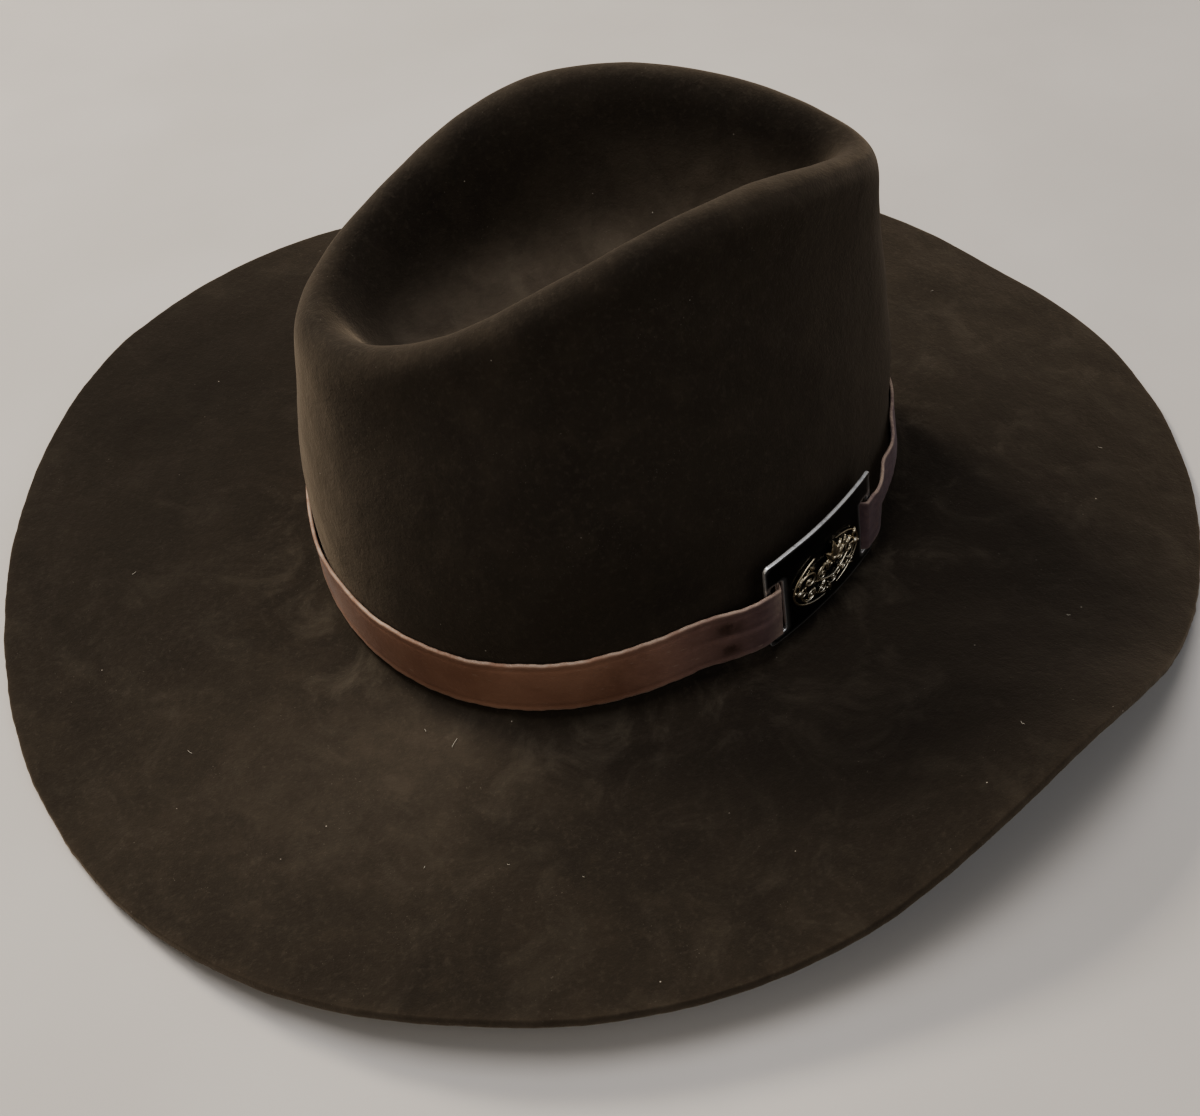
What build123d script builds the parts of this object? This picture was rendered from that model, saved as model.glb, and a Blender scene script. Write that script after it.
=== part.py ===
from build123d import *
import math
import os

# ----------------------------------------------------------------------------
# Felt western hat with a tall teardrop crown, a wide soft brim and a leather
# strap carrying a slotted metal plaque.  Millimetres, +Z up, front of the hat
# towards -Y, the wearer's left towards +X.
#
# The hat is modelled in a crown frame: origin in the middle of the crown base,
# z square to the base.  Angles round the crown start at the front and grow
# towards the wearer's left, so 90 is left, 180 back and 270 right.
# ----------------------------------------------------------------------------

os.makedirs("parts", exist_ok=True)


def save(part, name):
    part.label = name
    export_step(part, f"parts/{name}.step")


# ---- crown frame -------------------------------------------------------------
WORLD_UP = (0.031765, -0.039795, 1.0)   # the world's +Z seen from the tilted crown frame
HAT_AT = (-0.282, -0.278, 8.204)        # origin of the crown frame in the world

# the rows of the rotation that carries the crown frame into the world frame
row_z = Vector(*WORLD_UP).normalized()
row_x = Vector(row_z.Z, 0.0, -row_z.X).normalized()
row_y = row_z.cross(row_x)
HAT = Plane(origin=HAT_AT, x_dir=(row_x.X, row_y.X, row_z.X), z_dir=(row_x.Z, row_y.Z, row_z.Z))


def place(point):
    """Point of the crown frame in the world frame."""
    return HAT.from_local_coords(Vector(*point))


def level(height):
    """Plane parallel to the crown base, at a height over it."""
    return HAT.offset(height)


def facing_out(x, y, z, normal):
    """World location at a crown point: x along the wall, y up, z along the level normal."""
    plane = Plane(origin=(x, y, z), x_dir=(-normal[1], normal[0], 0.0),
                  z_dir=(normal[0], normal[1], 0.0))
    return HAT.location * plane.location


# ---- shape of the felt -------------------------------------------------------
FELT_T = 2.8
EDGE_BULGE = 0.9                # how far the rounded brim edge stands out
CROWN_HALF_W = 87.7             # half width of the crown at its base, outside
CROWN_HALF_L = 98.6             # half length of the crown at its base, outside
CROWN_EGG = 0.211               # how much narrower the front of the oval is

BRIM_W = 102.3                  # brim width measured along the felt (4 in)
BRIM_CURL = 0.55                # share of the brim's slope that comes late
# brim slope round the crown in degrees: mean, then cos and sin terms of each harmonic
BRIM_MEAN_DEG = 2.57
BRIM_WAVES_DEG = [(-4.35, -5.76), (-3.50, -1.42), (-1.12, 3.63), (-1.91, 1.18),
                  (0.90, -0.28), (0.95, -0.92), (-0.12, -0.24), (-0.24, 0.41)]
# share of the brim width at each control point, from the edge inwards
BRIM_SHARES = (1.0, 0.97, 0.85, 0.68, 0.5, 0.33, 0.2, 0.10)

# where the brim turns up into the crown: distance outside the oval, height
WALL_Z0 = 9.0
TURN = [(3.0, 0.2), (0.2, 3.0), (-0.4, WALL_Z0)]

# crown wall: share of its height, share of the way from the base oval to the rim
WALL = [(0.12, 0.03), (0.34, 0.13), (0.56, 0.34), (0.78, 0.70), (0.97, 1.0)]
# hollows pressed into the wall: depth, angle, spread in degrees, height share, its spread
HOLLOWS = [(4.0, 42, 26, 0.5, 0.45), (4.0, 318, 26, 0.5, 0.45),
           (3.0, 285, 22, 0.62, 0.22), (3.0, 75, 22, 0.62, 0.22)]

# rim: the ridge that runs round the dent, as harmonics of the angle
RIM_X = [45.3, -3.3, -0.1]              # sin terms from the first
RIM_Y0 = 0.3                            # mean
RIM_Y = [77.9, 2.6, 2.6]                # cos terms from the first, pointing forwards
RIM_Z = [106.4, 9.9, -10.5, -2.5, 0.2]  # mean, then cos terms
RIM_R = 9.2                             # roundness of the rim
WALL_TOP_DROP = 0.2                     # wall top under the rim, in rim radii
# over the rim: outwards and upwards, both in rim radii
RIM_OVER = [(0.75, 0.62), (0.0, 1.12), (-0.8, 0.55)]

DENT_Y = 2.0                    # centre of the dent
DENT_Z = 78.0                   # height of the dent floor over the crown base
DENT_SLOPE = 0.10               # dent floor rises towards the front
# dent: share of the way from its centre to the rim, share of the rise from floor to rim
DENT = [(0.95, 0.66), (0.86, 0.30), (0.66, 0.08), (0.42, 0.02), (0.2, 0.0)]

# stations along the curve from the brim edge to the dent, closer where the felt turns
STATIONS = [0.0, 0.02, 0.06, 0.11, 0.16, 0.21, 0.25, 0.285, 0.31, 0.33, 0.345, 0.36, 0.375, 0.39,
            0.41, 0.44, 0.48, 0.52, 0.56, 0.595, 0.62, 0.64, 0.66, 0.68, 0.70, 0.715, 0.73,
            0.745, 0.76, 0.78, 0.80, 0.83, 0.87, 0.92, 0.965]
N_ROUND = 48                    # points on every ring round the crown


def oval(angle):
    """Outline of the crown at its base; the angle is in radians."""
    sin, cos = math.sin(angle), math.cos(angle)
    return (CROWN_HALF_W * sin * (1 - CROWN_EGG * cos), -CROWN_HALF_L * cos)


def rim(angle):
    """Ridge line of the rim."""
    x = sum(a * math.sin(k * angle) for k, a in enumerate(RIM_X, 1))
    y = RIM_Y0 - sum(a * math.cos(k * angle) for k, a in enumerate(RIM_Y, 1))
    z = sum(a * math.cos(k * angle) for k, a in enumerate(RIM_Z))
    return (x, y, z)


def outward(outline, angle):
    """Level unit normal pointing out of an outline."""
    step = 1e-3
    before, after = outline(angle - step), outline(angle + step)
    dx, dy = after[0] - before[0], after[1] - before[1]
    length = math.hypot(dx, dy)
    return (dy / length, -dx / length)


def wrap(deg):
    """Angle brought into -180..180 degrees."""
    return (deg + 180.0) % 360.0 - 180.0


def bell(offset, spread):
    return math.exp(-0.5 * (offset / spread) ** 2)


def brim_slope(angle):
    """Slope of the brim in radians."""
    return math.radians(BRIM_MEAN_DEG + sum(
        a * math.cos(k * angle) + b * math.sin(k * angle)
        for k, (a, b) in enumerate(BRIM_WAVES_DEG, 1)))


def profile(angle):
    """Control points of the felt from the brim edge to the middle of the dent."""
    base_x, base_y = oval(angle)
    base_nx, base_ny = outward(oval, angle)
    points = []

    slope = brim_slope(angle)
    for share in BRIM_SHARES:
        out = BRIM_W * share * math.cos(slope)
        rise = (1 - BRIM_CURL) * share + BRIM_CURL * share * share
        points.append((base_x + base_nx * out, base_y + base_ny * out,
                       BRIM_W * math.sin(slope) * rise))
    for out, z in TURN:
        points.append((base_x + base_nx * out, base_y + base_ny * out, z))

    rim_x, rim_y, rim_z = rim(angle)
    rim_nx, rim_ny = outward(rim, angle)
    outer_x, outer_y = rim_x + rim_nx * RIM_R, rim_y + rim_ny * RIM_R
    wall_h = rim_z - WALL_TOP_DROP * RIM_R - WALL_Z0
    for up, across in WALL:
        pull = sum(depth * bell(wrap(math.degrees(angle) - deg), spread)
                   * bell(up - mid_up, up_spread)
                   for depth, deg, spread, mid_up, up_spread in HOLLOWS)
        points.append((base_x + (outer_x - base_x) * across - rim_nx * pull,
                       base_y + (outer_y - base_y) * across - rim_ny * pull,
                       WALL_Z0 + wall_h * up))
    for out, up in RIM_OVER:
        points.append((rim_x + rim_nx * out * RIM_R, rim_y + rim_ny * out * RIM_R,
                       rim_z + up * RIM_R))

    inner_x, inner_y = rim_x - rim_nx * RIM_R, rim_y - rim_ny * RIM_R - DENT_Y
    for out, up in DENT:
        floor = DENT_Z - DENT_SLOPE * inner_y * out
        points.append((inner_x * out, DENT_Y + inner_y * out, floor + (rim_z - floor) * up))
    points.append((0.0, DENT_Y, DENT_Z))
    return points


def curve_at(controls, v):
    """Point of the clamped cubic B-spline at v in 0..1, by de Boor's algorithm."""
    degree = 3
    spans = len(controls) - degree
    t = v * spans
    span = min(int(t), spans - 1)

    def knot(i):
        return min(max(i - degree, 0), spans)

    points = [list(controls[span + j]) for j in range(degree + 1)]
    for r in range(1, degree + 1):
        for j in range(degree, r - 1, -1):
            low, high = knot(span + j), knot(span + j + 1 + degree - r)
            blend = (t - low) / (high - low)
            points[j] = [(1 - blend) * a + blend * b for a, b in zip(points[j - 1], points[j])]
    return points[degree]


def felt_point(angle, v, depth=0.0):
    """Point of the felt's outer face, or of the face `depth` below it."""
    controls = profile(angle)
    point = curve_at(controls, v)
    if not depth:
        return point
    step = 2e-3
    around = (Vector(*curve_at(profile(angle + step), v))
              - Vector(*curve_at(profile(angle - step), v)))
    along = (Vector(*curve_at(controls, min(v + step, 1.0)))
             - Vector(*curve_at(controls, max(v - step, 0.0))))
    normal = around.cross(along)
    size = normal.length
    return [point[0] - depth * normal.X / size,
            point[1] - depth * normal.Y / size,
            point[2] - depth * normal.Z / size]


# ---- felt body: lofted from the underside of the dent round the brim edge and back ----
def ring_wire(points):
    return Wire([Edge.make_spline([place(p) for p in points], periodic=True)])


angles = [2 * math.pi * i / N_ROUND for i in range(N_ROUND)]
outer_rings = [[felt_point(a, v) for a in angles] for v in STATIONS]
inner_rings = [[felt_point(a, v, FELT_T) for a in angles] for v in STATIONS]

# softly rounded raw edge of the brim
edge_ring = []
for angle, upper, lower in zip(angles, outer_rings[0], inner_rings[0]):
    nx, ny = outward(oval, angle)
    edge_ring.append([(upper[0] + lower[0]) / 2 + nx * EDGE_BULGE,
                      (upper[1] + lower[1]) / 2 + ny * EDGE_BULGE,
                      (upper[2] + lower[2]) / 2])

top_pole = felt_point(0.0, 1.0)
low_pole = [top_pole[0], top_pole[1], top_pole[2] - FELT_T]
felt_rings = inner_rings[::-1] + [edge_ring] + outer_rings
felt_sections = [Vertex(*place(low_pole))]
felt_sections += [ring_wire(ring) for ring in felt_rings]
felt_sections += [Vertex(*place(top_pole))]

with BuildPart() as felt_body:
    add(Solid.make_loft(felt_sections, ruled=True))
save(felt_body.part, "felt_body")


# ---- shapes that follow the crown wall ---------------------------------------
def wall_point(angle, z):
    """Outer face of the crown wall at height z over the crown base."""
    controls = profile(angle)
    low, high = 0.30, 0.64      # stretch of the curve that holds the wall
    for _ in range(40):
        middle = (low + high) / 2
        if curve_at(controls, middle)[2] < z:
            low = middle
        else:
            high = middle
    return tuple(curve_at(controls, low)[:2])


def beside_wall(deg, z, out):
    """Point at a distance outside (negative: inside) the crown's outer face."""
    angle = math.radians(deg)
    x, y = wall_point(angle, z)
    nx, ny = outward(oval, angle)
    return (x + nx * out, y + ny * out)


def beside_wall_frame(deg, z, out):
    """Location beside the wall: x along the wall, y up, z away from the crown."""
    return facing_out(*beside_wall(deg, z, out), z, outward(oval, math.radians(deg)))


def full_ring(z, out):
    return [beside_wall(360.0 * i / N_ROUND, z, out) for i in range(N_ROUND)]


def sleeve(outer, inner):
    """Sleeve between two ruled lofts, each given as (height, ring) pairs."""
    with BuildPart() as result:
        for rings, mode in ((outer, Mode.ADD), (inner, Mode.SUBTRACT)):
            for z, ring in rings:
                with BuildSketch(level(z)):
                    with BuildLine():
                        Spline(*ring, periodic=True)
                    make_face()
            loft(ruled=True, mode=mode)
    return result.part


def ring_tube(z, wall_z, out, radius, bore=0.0):
    """Round cord at height z that follows the wall's outline at wall_z."""
    with BuildPart() as result:
        with BuildLine(level(z)) as path:
            Spline(*full_ring(wall_z, out), periodic=True)
        with BuildSketch(Plane(origin=path.line @ 0, z_dir=path.line % 0)):
            Circle(radius)
            if bore:
                Circle(bore, mode=Mode.SUBTRACT)
        sweep(path=path.line)
    return result.part


def lofted_strip(sections):
    """Open strip lofted through (plane, outer points, inner points) sections."""
    with BuildPart() as result:
        for plane, outer, inner in sections:
            with BuildSketch(plane):
                with BuildLine():
                    Spline(*outer)
                    Line(outer[-1], inner[-1])
                    Spline(*inner[::-1])
                    Line(inner[0], outer[0])
                make_face()
        loft(ruled=True)
    return result.part


def wall_patch(heights, mid_deg, step_deg, inner_out, outer_out):
    """Short strip round mid_deg with five points on each face."""
    degs = [mid_deg + step_deg * k for k in range(-2, 3)]
    return lofted_strip([(level(z),
                          [beside_wall(deg, z, outer_out) for deg in degs],
                          [beside_wall(deg, z, inner_out) for deg in degs])
                         for z in heights])


CUT_OVER = 0.5                  # how far the cutting loft of a sleeve passes its ends

# ---- lining -------------------------------------------------------------------
LINING_T = 0.5
LINING_IN = 3.8                 # how far inside the crown's outer face the lining starts
LINING_LEAN = 0.08              # how much further in per mm above LINING_LEAN_Z
LINING_LEAN_Z = 44.0
LINING_Z0, LINING_Z1 = 11.0, 60.0
LINING_MID_Z = (24.0, 38.0, 50.0)
PIPING_R = 0.7
PIPING_Z = LINING_Z1 + 0.5 + PIPING_R
TIP_GAP = 0.5                   # air between the piping and the tip


def lining_in(z):
    """The wall leans in more towards the top, so the lining keeps further off."""
    return LINING_IN + max(0.0, z - LINING_LEAN_Z) * LINING_LEAN


PIPING_IN = lining_in(LINING_Z1) + 0.9

save(sleeve(
    outer=[(z, full_ring(z, -lining_in(z))) for z in (LINING_Z0, *LINING_MID_Z, LINING_Z1)],
    inner=[(z, full_ring(z, -lining_in(z) - LINING_T))
           for z in (LINING_Z0 - CUT_OVER, *LINING_MID_Z, LINING_Z1 + CUT_OVER)],
), "lining_side")

save(ring_tube(PIPING_Z, LINING_Z1, -PIPING_IN, PIPING_R), "lining_piping")

# flat sheet that closes the lining inside the piping
with BuildPart() as lining_tip:
    with BuildSketch(level(PIPING_Z - LINING_T / 2)):
        with BuildLine():
            Spline(*full_ring(LINING_Z1, -PIPING_IN - PIPING_R - TIP_GAP), periodic=True)
        make_face()
    extrude(amount=LINING_T)
save(lining_tip.part, "lining_tip")

# ---- sweatband ------------------------------------------------------------------
SWEAT_T = 1.2
SWEAT_IN = 5.1
SWEAT_Z0, SWEAT_H = 3.4, 41.0   # 1 5/8 in sweatband
SWEAT_Z1 = SWEAT_Z0 + SWEAT_H
SWEAT_MID_Z = (12.0, 22.0, 34.0)
SWEAT_INNER = SWEAT_IN + SWEAT_T    # its inner face from the crown's outer face

save(sleeve(
    outer=[(z, full_ring(z, -SWEAT_IN)) for z in (SWEAT_Z0, *SWEAT_MID_Z, SWEAT_Z1)],
    inner=[(z, full_ring(max(z, SWEAT_Z0), -SWEAT_INNER))
           for z in (SWEAT_Z0 - CUT_OVER, *SWEAT_MID_Z, SWEAT_Z1 + CUT_OVER)],
), "sweatband")

# reed in its hollow casing, under the sweatband
REED_R = 0.7
CASING_R, CASING_BORE_R = 1.6, 1.15
REED_IN = 5.6
REED_Z = 1.1
REED_WALL_Z = 4.0               # height of the wall outline that the reed follows

save(ring_tube(REED_Z, REED_WALL_Z, -REED_IN, CASING_R, CASING_BORE_R), "reed_casing")
save(ring_tube(REED_Z, REED_WALL_Z, -REED_IN, REED_R), "sweatband_reed")

# stitches round the lower edge, left out at the back
STITCH_L, STITCH_W, STITCH_T = 3.0, 0.5, 0.5
STITCH_GAP = 0.6
STITCH_Z = 6.2
N_STITCHES = 72
STITCH_FREE_DEG = 8             # no stitches this close to the middle of the back

stitch_degs = [360.0 * (i + 0.5) / N_STITCHES for i in range(N_STITCHES)]
stitch_spots = [beside_wall_frame(deg, STITCH_Z, -SWEAT_INNER - STITCH_GAP - STITCH_T / 2)
                for deg in stitch_degs if abs(deg - 180.0) > STITCH_FREE_DEG]
with BuildPart() as sweatband_stitches:
    with Locations(*stitch_spots):
        Box(STITCH_L, STITCH_W, STITCH_T)
save(sweatband_stitches.part, "sweatband_stitches")

# upright seam strip at the back
SEAM_INSET = 1.0                # from the lower and upper edge of the sweatband
save(wall_patch((SWEAT_Z0 + SEAM_INSET, 22.0, SWEAT_Z1 - SEAM_INSET), 180.0, 1.9,
                inner_out=-SWEAT_INNER - 1.3, outer_out=-SWEAT_INNER - 0.7),
     "sweatband_back_seam")

# bow at the back: two loops, a knot and two tails
BOW_Z = 10.5
BOW_GAP = 2.2
BOW_T = 1.2
LOOP_X, LOOP_Y = 5.6, 0.6
TAIL_X, TAIL_Y, TAIL_DEG = 2.6, -4.0, 35
with BuildPart() as sweatband_bow:
    with BuildSketch(Plane(beside_wall_frame(180.0, BOW_Z, -SWEAT_INNER - BOW_GAP))):
        with Locations((-LOOP_X, LOOP_Y), (LOOP_X, LOOP_Y)):
            Ellipse(5.4, 2.6)
            Ellipse(3.9, 1.3, mode=Mode.SUBTRACT)
        RectangleRounded(3.6, 4.4, 0.8)
        for side in (-1, 1):
            with Locations(Location((side * TAIL_X, TAIL_Y), side * TAIL_DEG)):
                RectangleRounded(2.0, 6.4, 0.5)
    extrude(amount=-BOW_T)
save(sweatband_bow.part, "sweatband_bow")

# size label, behind the wearer's left side
save(wall_patch((22.0, 34.0), 151.0, 2.5,
                inner_out=-SWEAT_INNER - 1.0, outer_out=-SWEAT_INNER - 0.6),
     "size_label")

# ---- plaque: curved plate, ornament and rivets -----------------------------------
PLATE_DEG = 296.8               # where it sits round the crown, front right
PLATE_LEN = 53.0
PLATE_T = 1.2
PLATE_Z0, PLATE_H = 2.4, 33.0
PLATE_OFF = 3.6                 # air for the strap that runs behind it
PLATE_CORNER_R = 1.8
PLATE_WALL_Z = 12.0             # height of the wall outline that the plate follows
FIT_DEG = 12.0                  # the circle is fitted this far to either side
SLOT_IN = 4.5                   # slot centre from the end of the plate
SLOT_W, SLOT_H, SLOT_CORNER_R = 5.0, 21.0, 0.8
SLOT_ZC = 15.9                  # the slots sit low on the plate, where the strap runs
ORN_W, ORN_H, ORN_T = 34.0, 21.0, 1.0
ORN_ZC = 16.8                   # a little below the middle of the plate
ORN_GAP = 0.45                  # air between plate and ornament
RIVET_AT = 14.0                 # rivets either side of the middle
RIVET_R = 0.45
RIVET_HOLE_R = RIVET_R + 0.5
HEAD_R, HEAD_H, HEAD_FILLET = 1.3, 0.8, 0.6
HEAD_GAP = 0.4                  # air between ornament and rivet head


def circle_through(a, b, c):
    """Centre of the circle through three points."""
    aa, bb, cc = (x * x + y * y for x, y in (a, b, c))
    scale = 2 * (a[0] * (b[1] - c[1]) + b[0] * (c[1] - a[1]) + c[0] * (a[1] - b[1]))
    return ((aa * (b[1] - c[1]) + bb * (c[1] - a[1]) + cc * (a[1] - b[1])) / scale,
            (aa * (c[0] - b[0]) + bb * (a[0] - c[0]) + cc * (b[0] - a[0])) / scale)


# the plate lies on an upright cylinder fitted to the wall behind it
fit_points = [wall_point(math.radians(PLATE_DEG + k), PLATE_WALL_Z)
              for k in (-FIT_DEG, 0.0, FIT_DEG)]
ARC_X, ARC_Y = circle_through(*fit_points)
mid_x, mid_y = fit_points[1][0] - ARC_X, fit_points[1][1] - ARC_Y
PLATE_R0 = math.hypot(mid_x, mid_y) + PLATE_OFF
PLATE_R1 = PLATE_R0 + PLATE_T
ARC_MID_DEG = math.degrees(math.atan2(mid_y, mid_x))
SLOT_AT = PLATE_LEN / 2 - SLOT_IN


def arc_deg(length):
    """Angle of an arc length on the plate's outer face."""
    return math.degrees(length / PLATE_R1)


def on_plate(deg, z, radius):
    """Plane on the plate's cylinder: x along the plate, y up, z outwards."""
    angle = math.radians(ARC_MID_DEG + deg)
    nx, ny = math.cos(angle), math.sin(angle)
    return Plane(facing_out(ARC_X + radius * nx, ARC_Y + radius * ny, z, (nx, ny)))


def plate_outline(r0, r1):
    """Piece of the cylinder wall as long as the plate, seen from above."""
    half = arc_deg(PLATE_LEN / 2)
    for radius in (r1, r0):
        CenterArc((ARC_X, ARC_Y), radius, ARC_MID_DEG - half, 2 * half)
    for end in (-half, half):
        angle = math.radians(ARC_MID_DEG + end)
        cos, sin = math.cos(angle), math.sin(angle)
        Line((ARC_X + r0 * cos, ARC_Y + r0 * sin), (ARC_X + r1 * cos, ARC_Y + r1 * sin))


rivet_planes = [on_plate(side * arc_deg(RIVET_AT), ORN_ZC, PLATE_R1) for side in (-1, 1)]

with BuildPart() as plaque_plate:
    with BuildSketch(level(PLATE_Z0)):
        with BuildLine():
            plate_outline(PLATE_R0, PLATE_R1)
        make_face()
    extrude(amount=PLATE_H)
    corner_edges = plaque_plate.edges().filter_by(lambda e: abs(e.length - PLATE_T) < 0.01)
    fillet(corner_edges, PLATE_CORNER_R)
    for side in (-1, 1):
        with BuildSketch(on_plate(side * arc_deg(SLOT_AT), SLOT_ZC, PLATE_R0 - 2.0)):
            RectangleRounded(SLOT_W, SLOT_H, SLOT_CORNER_R)
        extrude(amount=PLATE_T + 4.0, mode=Mode.SUBTRACT)
    for plane in rivet_planes:
        with BuildSketch(plane):
            Circle(RIVET_HOLE_R)
        extrude(amount=-PLATE_T - 1.0, mode=Mode.SUBTRACT)
save(plaque_plate.part, "plaque_plate")

# ornament: oval frame round an eight-petal flower, with a bar and a rivet pad on each side
FRAME_W, FRAME_H = 1.5, 1.4     # width of the frame at its ends and at top and bottom
N_PETALS = 8
PETAL_X, PETAL_Y = 7.0, 4.4     # half axes of the oval that the petals sit on
ORN_R0 = PLATE_R1 + ORN_GAP
ORN_R1 = ORN_R0 + ORN_T
with BuildPart() as ornament:
    with BuildSketch(on_plate(0.0, ORN_ZC, PLATE_R0 - 1.0)):
        Ellipse(ORN_W / 2, ORN_H / 2)
        Ellipse(ORN_W / 2 - FRAME_W, ORN_H / 2 - FRAME_H, mode=Mode.SUBTRACT)
        for k in range(N_PETALS):
            deg = 360.0 / N_PETALS * (k + 0.5)
            petal_x = PETAL_X * math.cos(math.radians(deg))
            petal_y = PETAL_Y * math.sin(math.radians(deg))
            with Locations(Location((petal_x, petal_y), deg)):
                Ellipse(5.2, 1.3)
        Circle(2.2)
        with Locations((-RIVET_AT, 0), (RIVET_AT, 0)):
            Circle(2.1)
        with Locations((-RIVET_AT / 2 - 0.5, 0), (RIVET_AT / 2 + 0.5, 0)):
            Rectangle(11.5, 1.1)
    extrude(amount=ORN_R1 - PLATE_R0 + 6.0)
    # keep only the layer that curves with the plate
    with BuildSketch(level(PLATE_Z0)):
        with BuildLine():
            plate_outline(ORN_R0, ORN_R1)
        make_face()
    extrude(amount=PLATE_H, mode=Mode.INTERSECT)
    for plane in rivet_planes:
        with BuildSketch(plane):
            Circle(RIVET_HOLE_R)
        extrude(amount=4.0, mode=Mode.SUBTRACT)
save(ornament.part, "ornament")

HEAD_AT = ORN_R1 - PLATE_R1 + HEAD_GAP  # underside of the head from the plate's outer face
with BuildPart() as ornament_rivets:
    for plane in rivet_planes:
        with BuildSketch(plane.offset(-PLATE_T)):
            Circle(RIVET_R)
        extrude(amount=PLATE_T + HEAD_AT + 0.2)
        with BuildSketch(plane.offset(HEAD_AT)):
            Circle(HEAD_R)
        extrude(amount=HEAD_H)
        head_top = plane.offset(HEAD_AT + HEAD_H).origin
        circles = ornament_rivets.edges().filter_by(GeomType.CIRCLE)
        fillet(circles.filter_by(lambda e: abs(e.radius - HEAD_R) < 0.01
                                 and (e.arc_center - head_top).length < 0.05), HEAD_FILLET)
save(ornament_rivets.part, "ornament_rivets")

# ---- strap -----------------------------------------------------------------------
STRAP_T = 1.2
STRAP_Z0, STRAP_Z1 = 2.2, 21.2  # 3/4 in strap
STRAP_RISE = 2.1                # the strap sits twice this higher at the plaque than opposite
RISE_RADIUS = 90.0              # distance from the middle at which that holds
STRAP_GAP = 0.95                # air between the crown wall and the strap
OVER = 0.75                     # air between the strap and the plate ends it passes over
SLOT_RAMP = 4.4                 # length in which the strap comes out through a slot
FRONT_RUN, BACK_RUN = 13.0, 22.0    # lengths in which it returns to the wall past the plate
LAP_DEG = 111.0                 # inner strap end, hidden on the wearer's left
LAP_LEN_DEG = 14.0
LAP_AIR = 0.6                   # air between the two layers of the lap

STRAP_END_DEG = LAP_DEG + 360.0 + LAP_LEN_DEG
rise_x = STRAP_RISE / RISE_RADIUS * math.sin(math.radians(PLATE_DEG))
rise_y = -STRAP_RISE / RISE_RADIUS * math.cos(math.radians(PLATE_DEG))
STRAP = Plane(HAT.location * Plane(origin=(0, 0, STRAP_RISE), x_dir=(1, 0, rise_x),
                                   z_dir=(-rise_x, -rise_y, 1)).location)


def smooth(t):
    """Soft step from 0 to 1."""
    t = min(max(t, 0.0), 1.0)
    return t * t * (3 - 2 * t)


def from_plate_middle(deg):
    """Distance from the plate's middle along its arc."""
    x, y = beside_wall(deg, PLATE_WALL_Z, PLATE_OFF)
    turn = math.degrees(math.atan2(y - ARC_Y, x - ARC_X)) - ARC_MID_DEG
    return abs(math.radians(wrap(turn)) * PLATE_R1)


def on_strap(deg, z):
    """Height over the crown base of a point z up the strap."""
    x, y = oval(math.radians(deg))
    return z + STRAP_RISE + rise_x * x + rise_y * y


def strap_out(deg, z):
    """Distance of the strap's inner face from the crown wall."""
    out = STRAP_GAP
    turn = deg % 360.0
    if 250.0 < turn < 345.0:
        # behind the plate, out through the slots, over the plate ends and back to the wall
        along = from_plate_middle(turn)
        x, y = wall_point(math.radians(turn), z)
        lift = PLATE_R1 + OVER - math.hypot(x - ARC_X, y - ARC_Y) - STRAP_GAP
        run = FRONT_RUN if turn > PLATE_DEG else BACK_RUN
        out += lift * (smooth((along - SLOT_AT + SLOT_RAMP / 2) / SLOT_RAMP)
                       - smooth((along - PLATE_LEN / 2 - 1.0) / run))
    # the last stretch climbs over the inner end
    out += (STRAP_T + LAP_AIR) * smooth((deg - LAP_DEG - 360.0 + 12.0) / 11.0)
    return out


def strap_section(z):
    """Plane, outer points and inner points of the strap, z up its width."""
    outer, inner = [], []
    for deg in strap_degs:
        height = on_strap(deg, z)
        out = strap_out(deg, height)
        outer.append(beside_wall(deg, height, out + STRAP_T))
        inner.append(beside_wall(deg, height, out))
    return STRAP.offset(z), outer, inner


# points along the strap, closest at the plaque and closer towards the lap
strap_degs = []
deg = LAP_DEG
while deg < STRAP_END_DEG - 0.01:
    strap_degs.append(deg)
    if 262.0 < deg % 360.0 < 332.0:
        deg += 0.75
    elif deg > LAP_DEG + 340.0:
        deg += 2.0
    else:
        deg += 4.0
strap_degs.append(STRAP_END_DEG)

save(lofted_strip([strap_section(z) for z in (STRAP_Z0, 7.0, 12.0, 17.0, STRAP_Z1)]),
     "hatband_strap")

# two upright rows of stitches outside the lap
LAP_STITCH_L, LAP_STITCH_W = 2.2, 0.6
LAP_STITCH_OUT = 1.4            # stitch centre from the strap's outer face
lap_stitch_spots = [
    beside_wall_frame(deg, z, strap_out(deg, z) + STRAP_T + LAP_STITCH_OUT)
    * Location((0, 0, 0), (0, 0, 90))
    for deg in (LAP_DEG + 360.0 + 4.5, LAP_DEG + 360.0 + 11.0)
    for z in (5.0, 8.6, 12.2, 15.8)]
with BuildPart() as strap_end_stitches:
    with Locations(*lap_stitch_spots):
        Box(LAP_STITCH_L, LAP_STITCH_W, LAP_STITCH_W)
save(strap_end_stitches.part, "strap_end_stitches")
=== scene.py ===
# A brown felt hat with a leather hatband, a black metal plaque with a pale gold ornament, and
# its inner bands and lining.
#
# Shapes are worked out in the crown frame, in mm: the sweat opening is centred near the origin,
# the front is at -Y, the back at +Y, and Z runs up the crown. "Turn" is the angle round the
# crown in degrees: 0 front, 90 at +X, 180 back, 270 at -X. to_scene() gives scene metres.
import bpy
import bmesh
import math
import numpy as np
from mathutils import Vector, Matrix, geometry


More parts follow.
